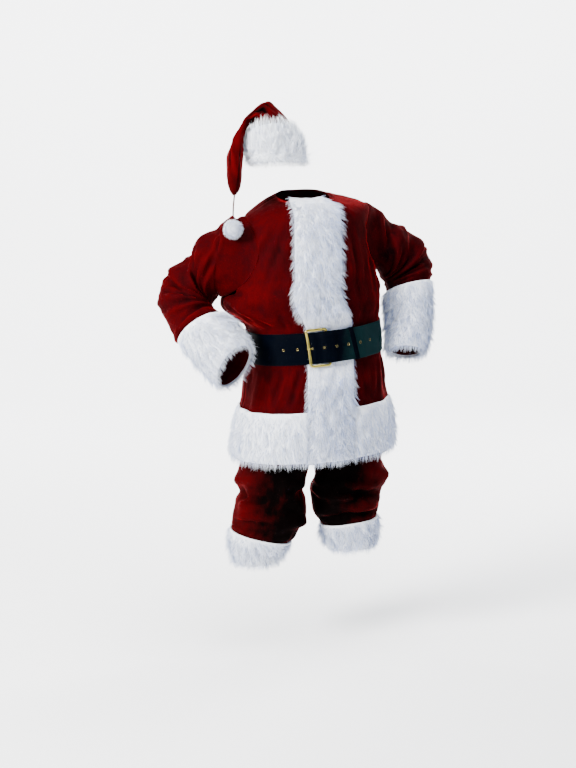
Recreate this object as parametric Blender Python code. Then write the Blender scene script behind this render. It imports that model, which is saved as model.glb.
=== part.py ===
"""Fur-trimmed velvet costume: hat, belted coat and trousers, hollow, in a worn pose.

Heights in the tables are above the floor.  x runs to the wearer's left, y to the back.
Every cloth piece is a thin wall made from a table of sections; fur bands, belt and trims
are made from points of the cloth beneath, moved out along its normals.
"""
import math

import bmesh
import bpy
import numpy as np

for thing in list(bpy.data.objects):
    bpy.data.objects.remove(thing, do_unlink=True)

LIFT = 1.480            # height of the origin between the shoulders, above the floor
GAP = 0.0004            # between sewn pieces
CLOTH = 0.0022          # velvet and lining
YAW = math.radians(16)  # the chest is turned to the wearer's left of the viewer
BOX = 2.35              # 2 is an ellipse, more is squarer
PLACKET = 0.078         # half width of the front strip
LEATHER = 0.0026
HANG = 0.014            # how far the body's fur hangs below the cloth's edge
EDGE = 0.30             # share of its height that fur keeps at a band's side edge
COLUMNS_FRONT = 9       # of one front, from the strip to the side seam
COLUMNS_BACK = 18
ARMHOLE_STEPS = 9

# ---------------------------------------------------------------- materials
MATERIALS = {
    "velvet": ((0.20, 0.004, 0.008, 1), 0.85, 0.0),
    "fur": ((0.90, 0.90, 0.88, 1), 0.95, 0.0),
    "leather": ((0.012, 0.013, 0.014, 1), 0.38, 0.0),
    "brass": ((0.80, 0.58, 0.18, 1), 0.28, 1.0),
    "elastic": ((0.16, 0.004, 0.007, 1), 0.9, 0.0),
}


def new_material(name, kind):
    colour, rough, metal = MATERIALS[kind]
    mat = bpy.data.materials.new(name + "_" + kind)
    mat.use_nodes = True
    shader = mat.node_tree.nodes["Principled BSDF"]
    shader.inputs["Base Color"].default_value = colour
    shader.inputs["Roughness"].default_value = rough
    shader.inputs["Metallic"].default_value = metal
    mat.diffuse_color = colour
    return mat


def add_object(name, points, faces, kind):
    """A closed mesh in the shared frame, turned outward."""
    points = np.asarray(points, float) - np.array([0, 0, LIFT])
    mesh = bpy.data.meshes.new(name)
    mesh.from_pydata([tuple(p) for p in points], [], [tuple(f) for f in faces])
    mesh.update()
    bm = bmesh.new()
    bm.from_mesh(mesh)
    if bm.calc_volume(signed=True) < 0:
        bmesh.ops.reverse_faces(bm, faces=bm.faces)
    bm.to_mesh(mesh)
    bm.free()
    thing = bpy.data.objects.new(name, mesh)
    bpy.context.scene.collection.objects.link(thing)
    mesh.materials.append(new_material(name, kind))
    return thing


# ---------------------------------------------------------------- tables to curves
def smooth(knots, values, x):
    """Cubic through the rows, with three-point slopes."""
    knots, values = np.asarray(knots, float), np.asarray(values, float)
    step = np.diff(knots)
    shape = (-1,) + (1,) * (values.ndim - 1)
    slope = np.diff(values, axis=0) / step.reshape(shape)
    mid = (slope[:-1] * step[1:].reshape(shape) + slope[1:] * step[:-1].reshape(shape))
    mid = mid / (step[:-1] + step[1:]).reshape(shape)
    tangent = np.concatenate([slope[:1], mid, slope[-1:]])
    x = np.atleast_1d(np.asarray(x, float))
    k = np.clip(np.searchsorted(knots, x, side="right") - 1, 0, len(knots) - 2)
    h = step[k].reshape((-1,) + (1,) * (values.ndim - 1))
    t = ((x - knots[k]) / step[k]).reshape(h.shape)
    return (values[k] * (2 * t**3 - 3 * t**2 + 1) + tangent[k] * h * (t**3 - 2 * t**2 + t)
            + values[k + 1] * (3 * t**2 - 2 * t**3) + tangent[k + 1] * h * (t**3 - t**2))


def bump(x, centre, width):
    return np.exp(-((x - centre) / width) ** 2)


def unit(v):
    return v / np.maximum(np.linalg.norm(v, axis=-1, keepdims=True), 1e-9)


# ---------------------------------------------------------------- walls
def normals_of(grid, around):
    """Normals of a grid of points [row][column]; `around` if the columns close up."""
    along = np.gradient(grid, axis=0)
    if around:
        across = (np.roll(grid, -1, axis=1) - np.roll(grid, 1, axis=1)) / 2
    else:
        across = np.gradient(grid, axis=1)
    out = unit(np.cross(unit(across), unit(along)))
    calm = out.copy()
    calm[1:-1] += (out[:-2] + out[2:]) / 4
    if around:
        calm += (np.roll(out, 1, axis=1) + np.roll(out, -1, axis=1)) / 4
    else:
        calm[:, 1:-1] += (out[:, :-2] + out[:, 2:]) / 4
    return unit(calm)


def skin(rows, columns, first, around, flip):
    """Triangles of one surface of a wall; the same diagonal on both of its sides."""
    faces = []
    for i in range(rows - 1):
        for j in range(columns if around else columns - 1):
            a, b = first + i * columns + j, first + i * columns + (j + 1) % columns
            c, d = b + columns, a + columns
            for f in ((a, b, c), (a, c, d)):
                faces.append(f[::-1] if flip else f)
    return faces


def wall(outer, inner, around):
    """Points and faces of the closed wall between two grids of the same size."""
    rows, columns = outer.shape[:2]
    n = rows * columns
    points = np.concatenate([outer.reshape(-1, 3), inner.reshape(-1, 3)])
    faces = skin(rows, columns, 0, around, False) + skin(rows, columns, n, around, True)
    edges = []
    for j in range(columns if around else columns - 1):
        k = (j + 1) % columns
        edges.append((j, k))
        edges.append(((rows - 1) * columns + k, (rows - 1) * columns + j))
    if not around:
        for i in range(rows - 1):
            edges.append(((i + 1) * columns, i * columns))
            edges.append((i * columns + columns - 1, (i + 1) * columns + columns - 1))
    for a, b in edges:
        faces += [(b, a, a + n), (b, a + n, b + n)]
    return points, faces


def cloth(name, grid, out, around, kind="velvet", thick=CLOTH):
    points, faces = wall(grid, grid - out * thick, around)
    return add_object(name, points, faces, kind)


def band(name, grid, out, heights, around, kind="fur", base=GAP):
    """Fur on a grid: `heights` per row, or per row and column."""
    heights = np.broadcast_to(np.asarray(heights, float).reshape(len(grid), -1),
                              grid.shape[:2])
    outer = grid + out * (base + heights)[..., None]
    points, faces = wall(outer, grid + out * base, around)
    return add_object(name, points, faces, kind)


# ---------------------------------------------------------------- coat body
BODY = {
    "height": (0.655, 0.690, 0.740, 0.800, 0.862, 0.900, 0.945, 0.985, 1.018, 1.068,
               1.118, 1.140, 1.165, 1.195, 1.235, 1.290, 1.350, 1.410, 1.450, 1.475,
               1.490, 1.505, 1.518, 1.527, 1.533),
    "right": (-0.240, -0.237, -0.230, -0.221, -0.211, -0.203, -0.197, -0.191, -0.188,
              -0.187, -0.190, -0.198, -0.226, -0.258, -0.272, -0.244, -0.230, -0.220,
              -0.212, -0.202, -0.190, -0.160, -0.130, -0.107, -0.090),
    "left": (0.286, 0.283, 0.279, 0.274, 0.266, 0.257, 0.253, 0.249, 0.245, 0.241,
             0.237, 0.237, 0.237, 0.236, 0.230, 0.218, 0.210, 0.207, 0.206, 0.202,
             0.192, 0.164, 0.130, 0.094, 0.070),
    "middle": (0.008, 0.008, 0.007, 0.006, 0.004, 0.002, 0.001, 0.000, 0.000, 0.000,
               0.000, 0.000, 0.000, 0.000, 0.000, 0.002, 0.004, 0.008, 0.012, 0.015,
               0.018, 0.020, 0.022, 0.023, 0.024),
    "front": (0.212, 0.211, 0.208, 0.205, 0.200, 0.196, 0.192, 0.188, 0.185, 0.184,
              0.186, 0.191, 0.205, 0.209, 0.207, 0.196, 0.180, 0.163, 0.148, 0.136,
              0.124, 0.108, 0.092, 0.080, 0.072),
    "back": (0.205, 0.204, 0.201, 0.198, 0.192, 0.188, 0.182, 0.175, 0.170, 0.168,
             0.171, 0.182, 0.193, 0.198, 0.197, 0.190, 0.180, 0.168, 0.157, 0.147,
             0.136, 0.120, 0.104, 0.092, 0.084),
    "roll": (0.050, 0.050, 0.055, 0.060, 0.065, 0.070, 0.075, 0.080, 0.085, 0.090,
             0.090, 0.100, 0.115, 0.130, 0.150, 0.150, 0.140, 0.130, 0.120, 0.110,
             0.100, 0.085, 0.060, 0.040, 0.030),
    "nod": (0.0, 0.0, 0.0, 0.0, 0.0, 0.0, 0.0, 0.0, 0.0, 0.0, 0.0, 0.0, 0.0, 0.0, 0.0,
            0.0, 0.0, 0.0, 0.0, 0.04, 0.08, 0.13, 0.18, 0.22, 0.24),
}
# folds of the coat: angle from the front in degrees, low and high end, width in
# degrees, height of the ridge, lean in degrees a metre
COAT_FOLDS = (
    (-70, 0.70, 0.985, 6.5, 0.0085, 20), (-52, 0.86, 0.985, 6.0, 0.0070, -20),
    (-36, 0.86, 0.985, 5.5, 0.0065, 10), (-92, 0.70, 0.985, 7.0, 0.0080, -10),
    (34, 0.86, 0.985, 6.0, 0.0060, 0), (52, 0.70, 0.985, 7.0, 0.0075, 20),
    (76, 0.70, 0.985, 7.0, 0.0085, 0), (112, 0.70, 0.985, 7.5, 0.0085, 10),
    (136, 0.74, 0.985, 7.0, 0.0075, -10), (160, 0.70, 0.985, 8.0, 0.0080, 10),
    (186, 0.72, 0.985, 7.5, 0.0085, 0), (208, 0.70, 0.985, 7.0, 0.0070, -20),
    (231, 0.72, 0.985, 7.5, 0.0085, 10), (252, 0.70, 0.985, 7.0, 0.0070, 0),
    (-64, 1.145, 1.24, 8.0, 0.0080, 60), (-42, 1.145, 1.22, 7.0, 0.0070, 30),
    (38, 1.145, 1.34, 7.0, 0.0065, -40), (58, 1.145, 1.28, 7.0, 0.0070, 40),
    (84, 1.145, 1.22, 8.0, 0.0065, 0), (118, 1.145, 1.26, 8.0, 0.0080, -60),
    (146, 1.145, 1.34, 8.0, 0.0070, -30), (172, 1.145, 1.28, 8.0, 0.0080, 20),
    (200, 1.145, 1.34, 8.0, 0.0070, 0), (228, 1.145, 1.27, 8.0, 0.0080, 40),
    (256, 1.145, 1.22, 8.0, 0.0070, 30),
)
HEM_ROWS = (0.696, 0.750, 0.808, 0.862)
LOW_ROWS = (0.900, 0.942, 0.985, 1.018)
BELT_ROWS = (1.018, 1.068, 1.118)
CHEST_ROWS = (1.142, 1.168, 1.200)
ARMPIT, SHOULDER = 1.250, 1.487
NECK_ROWS = (1.506, 1.519, 1.531)
ARMHOLE = math.radians(33)      # half its width, about the body
ARMHOLE_ROUND = 0.68            # 0.5 is an ellipse
INSIDE_STRIP = 0.82             # a column of the front under the strip, share of its width


def body_row(height):
    return {k: float(smooth(BODY["height"], BODY[k], height)[0])
            for k in BODY if k != "height"}


FOLD_FADE = 0.012               # over which a fold starts and ends
TROUGH, TROUGH_WIDTH = 0.35, 2.2    # shares of the ridge, for the dip round it


def coat_folds(angle, height):
    degrees = np.degrees(angle)
    total = np.zeros_like(degrees)
    for at, low, high, wide, tall, lean in COAT_FOLDS:
        middle = at + lean * (height - (low + high) / 2)
        away = (degrees - middle + 180) % 360 - 180
        fade = 1 / (1 + math.exp(-(height - low) / FOLD_FADE))
        fade = fade / (1 + math.exp((height - high) / FOLD_FADE))
        dip = TROUGH * bump(away, 0, wide * TROUGH_WIDTH)
        total += tall * fade * (bump(away, 0, wide) - dip)
    return total


def body_ring(height, angle):
    """Points of the coat's outer face; the angle runs from the front to the left."""
    r = body_row(height)
    angle = np.asarray(angle, float)
    half, centre = (r["left"] - r["right"]) / 2, (r["left"] + r["right"]) / 2
    depth = (r["front"] + r["back"]) / 2
    wide = math.sqrt(half**2 - (depth * math.sin(YAW)) ** 2) / math.cos(YAW)
    s, c = np.sin(angle), np.cos(angle)
    deep = np.where(c > 0, r["front"], r["back"])
    radius = (abs(s / wide) ** BOX + abs(c / deep) ** BOX) ** (-1 / BOX)
    radius = radius + coat_folds(angle, height)
    x, y = radius * s, -radius * c
    z = height + r["roll"] * x + r["nod"] * y
    return np.stack([centre + x * math.cos(YAW) - y * math.sin(YAW),
                     r["middle"] + x * math.sin(YAW) + y * math.cos(YAW), z], axis=-1)


def strip_angle(height, half=PLACKET):
    return math.atan2(half, body_row(height)["front"])


armhole_rows = [ARMPIT + (SHOULDER - ARMPIT) * (1 - math.cos(math.pi * k / (ARMHOLE_STEPS + 1))) / 2
                for k in range(ARMHOLE_STEPS + 2)]
body_rows = list(HEM_ROWS) + list(LOW_ROWS) + list(BELT_ROWS[1:]) + list(CHEST_ROWS)
first_arm = len(body_rows)
body_rows += armhole_rows
last_arm = len(body_rows) - 1
body_rows += list(NECK_ROWS)


def side_angle(height):
    """How far a panel stops short of the side because of the armhole."""
    t = (height - ARMPIT) / (SHOULDER - ARMPIT)
    return ARMHOLE * (4 * t * (1 - t)) ** ARMHOLE_ROUND if 0 < t < 1 else 0.0


def panel_grid(rows, side):
    """One front: from the centre out to the side seam, on the left (1) or right (-1)."""
    grid = []
    for h in rows:
        edge = strip_angle(h)
        seam = GAP / 2 / body_row(h)["front"]
        far = math.pi / 2 - side_angle(h) - seam
        angles = [seam, INSIDE_STRIP * edge, edge] + list(
            np.linspace(edge, far, COLUMNS_FRONT + 1)[1:])
        grid.append(body_ring(h, side * np.array(angles)))
    grid = np.array(grid)
    return grid if side > 0 else grid[:, ::-1]


def back_grid(rows):
    grid = []
    for h in rows:
        near = math.pi / 2 + side_angle(h) + GAP / 2 / body_row(h)["back"]
        grid.append(body_ring(h, np.linspace(near, 2 * math.pi - near, COLUMNS_BACK + 1)))
    return np.array(grid)


front_left, front_right = panel_grid(body_rows, 1), panel_grid(body_rows, -1)
back = back_grid(body_rows)
out_left, out_right = normals_of(front_left, False), normals_of(front_right, False)
out_back = normals_of(back, False)
# the seams' two sides share their normals, so that the walls stay parallel
for i in list(range(first_arm + 1)) + list(range(last_arm, len(body_rows))):
    shared = unit(out_left[i, -1] + out_back[i, 0])
    out_left[i, -1] = out_back[i, 0] = shared
    shared = unit(out_right[i, 0] + out_back[i, -1])
    out_right[i, 0] = out_back[i, -1] = shared
for i in range(len(body_rows)):
    shared = unit(out_left[i, 0] + out_right[i, -1])
    out_left[i, 0] = out_right[i, -1] = shared
cloth("coat_front_left", front_left, out_left, False)
cloth("coat_front_right", front_right, out_right, False)
cloth("coat_back", back, out_back, False)

# ---------------------------------------------------------------- fur on the body
whole = np.concatenate([front_right, front_left, back], axis=1)
whole_out = np.concatenate([out_right, out_left, out_back], axis=1)
n_front = COLUMNS_FRONT + 3
centre_right = list(range(COLUMNS_FRONT, n_front))          # strip columns, right front
centre_left = list(range(n_front, n_front + 3))
strip_columns = centre_right[:-1] + [n_front - 1] + centre_left[1:]
strip = whole[:, strip_columns]
strip_out = whole_out[:, strip_columns]
# height above the floor, and how far the strip's fur stands there; the belt presses it flat
STRIP_RISE = (
    (0.696, 0.012), (0.750, 0.018), (0.900, 0.018), (0.942, 0.015), (0.985, 0.0070),
    (1.018, 0.0045), (1.118, 0.0045), (1.142, 0.0050), (1.168, 0.012), (1.200, 0.018),
    (1.506, 0.016), (1.531, 0.010),
)
STRIP_ENDS = (0.006, 0.005)     # of the fur past the lower and the upper edge
NECK_REACH = 0.6                # of the last row's step, past the neck's edge
rise = np.interp(body_rows, *np.array(STRIP_RISE).T)
across = np.array([EDGE, 1.0, 1.0, 1.0, EDGE])
below = strip[:1] - np.array([0, 0, HANG])
above = strip[-1:] + (strip[-1:] - strip[-2:-1]) * NECK_REACH
strip_all = np.concatenate([below, strip, above])
strip_out_all = np.concatenate([strip_out[:1], strip_out, strip_out[-1:]])
strip_rise = np.concatenate([STRIP_ENDS[:1], rise, STRIP_ENDS[1:]])
band("placket_fur", strip_all, strip_out_all, strip_rise[:, None] * across[None, :], False)

HEM_RISE = (0.006, 0.017, 0.020, 0.019, 0.006)      # from the hanging ends upward
hem_columns = ([n_front + k for k in range(2, n_front)]
               + [2 * n_front + k for k in range(COLUMNS_BACK + 1)]
               + [k for k in range(0, COLUMNS_FRONT + 1)])
# the two sides of a side seam are one column of the band
hem_rows = len(HEM_ROWS)
hem_grid = whole[:hem_rows][:, hem_columns]
hem_out = whole_out[:hem_rows][:, hem_columns]
left_seam = COLUMNS_FRONT + 1
right_seam = left_seam + COLUMNS_BACK + 1
keep = [k for k in range(len(hem_columns)) if k not in (left_seam, right_seam)]
hem_grid, hem_out = hem_grid[:, keep], hem_out[:, keep]
hem_grid = hem_grid.copy()
hem_grid[:, 0] += unit(hem_grid[:, 1] - hem_grid[:, 0]) * 2 * GAP
hem_grid[:, -1] += unit(hem_grid[:, -2] - hem_grid[:, -1]) * 2 * GAP
low = hem_grid[:1] - np.array([0, 0, HANG])
hem_all = np.concatenate([low, hem_grid])
hem_out_all = np.concatenate([hem_out[:1], hem_out])
ends = np.ones(hem_all.shape[1])
ends[0] = ends[-1] = EDGE
ends[1] = ends[-2] = 0.95
band("hem_fur", hem_all, hem_out_all, np.array(HEM_RISE)[:, None] * ends[None, :], False)

# ---------------------------------------------------------------- sleeves
# the outer line (x, y, z) and the inner line (x, y, z) of each sleeve, and half its depth
SLEEVE_RIGHT = (
    (-0.233, -0.045, 1.455, -0.281, -0.060, 1.216, 0.086),
    (-0.272, -0.040, 1.436, -0.286, -0.064, 1.214, 0.087),
    (-0.317, -0.030, 1.405, -0.291, -0.069, 1.210, 0.086),
    (-0.362, -0.015, 1.344, -0.296, -0.074, 1.205, 0.084),
    (-0.417, -0.010, 1.294, -0.300, -0.080, 1.200, 0.082),
    (-0.459, -0.020, 1.244, -0.301, -0.085, 1.193, 0.082),
    (-0.468, -0.045, 1.186, -0.296, -0.092, 1.186, 0.082),
    (-0.444, -0.080, 1.128, -0.286, -0.103, 1.176, 0.080),
    (-0.404, -0.115, 1.075, -0.268, -0.116, 1.163, 0.078),
    (-0.375, -0.135, 1.049, -0.252, -0.131, 1.149, 0.075),
    (-0.336, -0.165, 1.015, -0.230, -0.156, 1.131, 0.073),
    (-0.302, -0.193, 0.983, -0.207, -0.180, 1.105, 0.071),
    (-0.276, -0.215, 0.959, -0.191, -0.200, 1.081, 0.070),
    (-0.259, -0.229, 0.945, -0.181, -0.213, 1.066, 0.069),
)
SLEEVE_LEFT = (
    (0.243, 0.072, 1.479, 0.240, 0.074, 1.284, 0.084),
    (0.281, 0.076, 1.447, 0.245, 0.072, 1.280, 0.086),
    (0.318, 0.088, 1.426, 0.250, 0.068, 1.274, 0.086),
    (0.358, 0.110, 1.402, 0.256, 0.063, 1.264, 0.084),
    (0.393, 0.128, 1.359, 0.263, 0.058, 1.254, 0.083),
    (0.411, 0.126, 1.304, 0.271, 0.053, 1.242, 0.082),
    (0.411, 0.106, 1.247, 0.277, 0.046, 1.225, 0.080),
    (0.405, 0.082, 1.193, 0.277, 0.037, 1.197, 0.076),
    (0.402, 0.052, 1.136, 0.280, 0.022, 1.146, 0.073),
    (0.396, 0.022, 1.081, 0.281, 0.002, 1.092, 0.071),
    (0.387, -0.006, 1.035, 0.277, -0.018, 1.048, 0.069),
    (0.381, -0.016, 1.015, 0.275, -0.027, 1.028, 0.068),
)
# row, degrees from the outer line to the front, width in rows, width in degrees, height
RIGHT_FOLDS = (
    (1.3, 10, 0.50, 60, 0.010), (2.3, 40, 0.35, 50, -0.008), (3.2, 40, 0.40, 60, 0.008),
    (4.1, 65, 0.38, 50, -0.008), (5.1, 60, 0.42, 60, 0.008), (6.1, 75, 0.38, 50, -0.008),
    (7.1, 60, 0.42, 60, 0.008), (8.1, 70, 0.38, 60, -0.007), (8.9, 20, 0.35, 90, 0.007),
    (2.4, -60, 0.45, 50, -0.008), (3.5, -60, 0.45, 50, 0.008), (4.7, -65, 0.45, 50, -0.008),
    (5.8, -65, 0.45, 50, 0.008), (7.0, -70, 0.45, 50, -0.007), (8.1, -60, 0.45, 50, 0.007),
)
LEFT_FOLDS = (
    (1.0, 20, 0.45, 50, 0.008), (1.8, 60, 0.35, 50, -0.008), (2.7, 50, 0.42, 55, 0.009),
    (3.6, 70, 0.38, 50, -0.008), (4.5, 55, 0.42, 60, 0.008), (5.4, 75, 0.38, 60, -0.007),
    (6.2, 30, 0.40, 90, 0.007), (2.0, -60, 0.45, 50, -0.008), (3.0, -60, 0.45, 50, 0.008),
    (4.1, -65, 0.45, 50, -0.008), (5.2, -60, 0.45, 50, 0.008),
)


def table_rings(table, columns, front):
    """Rings between the two lines of a table; `front` is the sign that faces forward."""
    table = np.array(table, float)
    outer, inner = table[:, :3], table[:, 3:6]
    centre, half = (outer + inner) / 2, (outer - inner) / 2
    axis = np.gradient(centre, axis=0)
    deep = unit(np.cross(axis, half)) * table[:, 6:7] * front
    turn = 2 * np.pi * np.arange(columns) / columns
    return (centre[:, None] + np.cos(turn)[None, :, None] * half[:, None]
            + np.sin(turn)[None, :, None] * deep[:, None])


def armhole_ring(side):
    """The armhole's edge from the shoulder down the front and up the back, drawn in."""
    rows = range(first_arm, last_arm + 1)
    front = front_left[:, -1] if side > 0 else front_right[:, 0]
    rear = back[:, 0] if side > 0 else back[:, -1]
    ring = [(front[last_arm] + rear[last_arm]) / 2]
    ring += [front[i] for i in reversed(rows[1:-1])]
    ring += [(front[first_arm] + rear[first_arm]) / 2]
    ring += [rear[i] for i in rows[1:-1]]
    ring = np.array(ring)
    return ring - unit(ring - ring.mean(axis=0)) * 1.4 * GAP


SLEEVE_HEAD = 0.010             # how far the sleeve runs straight out of the armhole
CUFF_ENDS, CUFF_MIDDLE = (0.005, 0.0165, 0.017, 0.006), 0.019    # how far the fur stands


def sleeve(side, table, folds, rows, cuff_rows, front):
    name = "left" if side > 0 else "right"
    columns = 2 * (ARMHOLE_STEPS + 1)
    hole = armhole_ring(side)
    outward = np.array([side * math.cos(YAW), side * math.sin(YAW), 0.0])
    rings = np.concatenate([hole[None], (hole + outward * SLEEVE_HEAD)[None],
                            table_rings(table, columns, front)])
    grid = smooth(np.arange(len(rings)) - 1.0, rings, rows + cuff_rows[1:])
    out = normals_of(grid, True)
    if np.sum(out[3] * (grid[3] - grid[3].mean(axis=0))) < 0:
        out = -out
    turn = np.degrees(2 * np.pi * np.arange(columns) / columns)
    for at, angle, long, wide, tall in folds:
        away = (turn - angle + 180) % 360 - 180
        lift = tall * bump(np.array(rows + cuff_rows[1:])[:, None], at, long)
        grid = grid + out * (lift * bump(away, 0, wide)[None, :])[..., None]
    out = normals_of(grid, True)
    if np.sum(out[3] * (grid[3] - grid[3].mean(axis=0))) < 0:
        out = -out
    cloth("sleeve_" + name, grid[:-1], out[:-1], True)
    start = len(rows) - 1
    heights = [*CUFF_ENDS[:2], *[CUFF_MIDDLE] * (len(cuff_rows) - 4), *CUFF_ENDS[2:]]
    band("cuff_fur_" + name, grid[start:], out[start:], heights, True)


# rows of the cloth along each sleeve; -1 is the armhole, 0 the table's first
right_rows = [-1, 0, 1.2, 2.2, 3.1, 4.0, 4.6, 5.2, 5.9, 6.5, 7.1, 7.8, 8.5, 9.3]
left_rows = [-1, 0, 1.0, 1.8, 2.6, 3.2, 3.8, 4.5, 5.2, 5.8, 6.4, 7.2]
sleeve(-1, SLEEVE_RIGHT, RIGHT_FOLDS, right_rows, [9.3, 9.9, 10.8, 11.9, 13.0, 13.7], -1)
sleeve(1, SLEEVE_LEFT, LEFT_FOLDS, left_rows, [7.2, 7.7, 8.5, 9.6, 10.7, 11.7], 1)

# ---------------------------------------------------------------- trousers
# height, inner x, outer x, middle y, half depth, roll
LEG_RIGHT = (
    (0.322, -0.098, -0.224, -0.022, 0.066, 0.05), (0.345, -0.088, -0.234, -0.022, 0.072, -0.02),
    (0.372, -0.074, -0.242, -0.022, 0.079, -0.12), (0.398, -0.062, -0.246, -0.022, 0.084, -0.22),
    (0.425, -0.038, -0.245, -0.022, 0.094, -0.22), (0.455, -0.012, -0.240, -0.023, 0.104, -0.14),
    (0.490, 0.002, -0.238, -0.024, 0.110, -0.06), (0.528, 0.000, -0.232, -0.025, 0.110, 0.0),
    (0.562, -0.006, -0.216, -0.026, 0.106, 0.0), (0.605, 0.005, -0.229, -0.027, 0.112, 0.0),
    (0.670, 0.012, -0.214, -0.028, 0.112, 0.0),
    (0.755, 0.008, -0.204, -0.027, 0.116, 0.0),
)
LEG_LEFT = (
    (0.357, 0.098, 0.229, 0.040, 0.068, 0.10), (0.381, 0.084, 0.234, 0.040, 0.073, 0.11),
    (0.409, 0.070, 0.236, 0.040, 0.079, 0.13), (0.436, 0.062, 0.238, 0.040, 0.084, 0.15),
    (0.462, 0.048, 0.243, 0.040, 0.094, 0.12), (0.490, 0.031, 0.253, 0.040, 0.102, 0.08),
    (0.525, 0.024, 0.258, 0.040, 0.108, 0.0), (0.560, 0.018, 0.263, 0.040, 0.108, 0.0),
    (0.602, 0.032, 0.273, 0.040, 0.112, 0.0), (0.670, 0.030, 0.261, 0.040, 0.112, 0.0),
    (0.755, 0.026, 0.250, 0.034, 0.114, 0.0),
)
# height, half width, front, back, how far forward and back the centre seam reaches
SEAT = (
    (0.800, None, 0.118, 0.128, 0.000, 0.000), (0.812, 0.213, 0.128, 0.140, 0.030, 0.036),
    (0.830, 0.212, 0.138, 0.152, 0.064, 0.078), (0.858, 0.208, 0.148, 0.164, 0.098, 0.120),
    (0.900, 0.204, 0.164, 0.172, 0.140, 0.154),
    (0.955, 0.198, 0.169, 0.165, 0.165, 0.163), (1.000, 0.1960, 0.1730, 0.1608, 0.1730, 0.1608),
)
SEAT_MIDDLE = (0.022, 0.004)
CROTCH_HALF = 0.106
DIP_REACH = 0.75                # of the half width, over which the centre seam draws in
LEG_WAVE, KNEE_UP = 0.030, 0.43     # unevenness of the section, above this height
FOOT_HANG = 0.012
FOOT_RISE = (0.006, 0.016, 0.019, 0.020, 0.008)     # of the fur, from below upward
LEG_COLUMNS = 16


def seat_point(x, y, z):
    """A point given about the seat's middle, turned with the chest."""
    return (SEAT_MIDDLE[0] + x * math.cos(YAW) - y * math.sin(YAW),
            SEAT_MIDDLE[1] + x * math.sin(YAW) + y * math.cos(YAW), z)


def trouser_leg(side, table):
    name = "left" if side > 0 else "right"
    grid = []
    for height, inner, outer, middle, depth, roll in table:
        centre, wide = (inner + outer) / 2, abs(outer - inner) / 2
        slit = GAP / wide
        ring = []
        for turn in np.linspace(slit, 2 * math.pi - slit, LEG_COLUMNS + 1):
            c, s = math.cos(turn), math.sin(turn)
            r = (abs(c / wide) ** BOX + abs(s / depth) ** BOX) ** (-1 / BOX)
            r *= 1 + LEG_WAVE * math.sin(3 * turn + height * 40) * (height > KNEE_UP)
            ring.append((centre - side * r * c, middle - r * s,
                         height - side * roll * r * c))
        grid.append(ring)
    for height, wide, front, rear, fore, aft in SEAT:
        ring = []
        for j, turn in enumerate(np.linspace(0, math.pi, LEG_COLUMNS + 1)):
            c, s = math.cos(turn), math.sin(turn)
            if wide is None:      # the crotch: a whole ring that ends at the middle
                t = 0.004 + (2 * math.pi - 0.008) * j / LEG_COLUMNS
                x = CROTCH_HALF * (1 - math.cos(t))
                y = -(front if t < math.pi else rear) * math.sin(t)
                ring.append(seat_point(side * (x + GAP / 2), y, height))
                continue
            deep, reach = (front, fore) if c > 0 else (rear, aft)
            r = (abs(s / wide) ** BOX + abs(c / deep) ** BOX) ** (-1 / BOX)
            dip = max(0.0, 1 - r * s / (DIP_REACH * wide)) ** 2
            y = -r * c * (1 - (1 - reach / deep) * dip)
            ring.append(seat_point(side * (r * s + GAP / 2), y, height))
        grid.append(ring)
    grid = np.array(grid)
    if side < 0:
        grid = grid[:, ::-1]
    out = normals_of(grid, False)
    middle_normal = np.array([math.cos(YAW), math.sin(YAW), 0])
    for i in range(len(grid)):
        if i <= len(table):
            out[i, 0] = out[i, -1] = unit(out[i, 0] + out[i, -1])
        else:
            for j in (0, -1):
                out[i, j] = unit(out[i, j] - middle_normal * (out[i, j] @ middle_normal))
    outward = np.sum(out[4] * (grid[4] - grid[4].mean(axis=0)))
    if outward < 0:
        out = -out
    cloth("trouser_leg_" + name, grid, out, False)
    # the fur at the foot of the leg closes up round it
    rows = len(FOOT_RISE) - 1
    ring = grid[:rows, :-1].copy()
    ring[:, 0] = (grid[:rows, 0] + grid[:rows, -1]) / 2
    ring_out = out[:rows, :-1]
    low = ring[:1] - np.array([0, 0, FOOT_HANG])
    ring = np.concatenate([low, ring])
    ring_out = np.concatenate([ring_out[:1], ring_out])
    ring_out = unit(ring_out * np.array([1, 1, 0.15]))
    band("trouser_cuff_fur_" + name, ring, ring_out, FOOT_RISE, True)


trouser_leg(-1, LEG_RIGHT)
trouser_leg(1, LEG_LEFT)

# the elastic casing at the waist
WAIST_LOW, WAIST_HIGH, ELASTIC = 1.0006, 1.040, 0.004
waist = []
waist_half, waist_front, waist_back = SEAT[-1][1:4]
for height in (WAIST_LOW, WAIST_HIGH):
    turns = 2 * np.pi * np.arange(2 * LEG_COLUMNS) / (2 * LEG_COLUMNS)
    s, c = np.sin(turns), np.cos(turns)
    deep = np.where(c > 0, waist_front, waist_back)
    r = (abs(s / waist_half) ** BOX + abs(c / deep) ** BOX) ** (-1 / BOX)
    waist.append([seat_point(a, -b, height) for a, b in zip(r * s, r * c)])
waist = np.array(waist)
cloth("trouser_waistband", waist, normals_of(waist, True), True, "elastic", ELASTIC)

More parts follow.
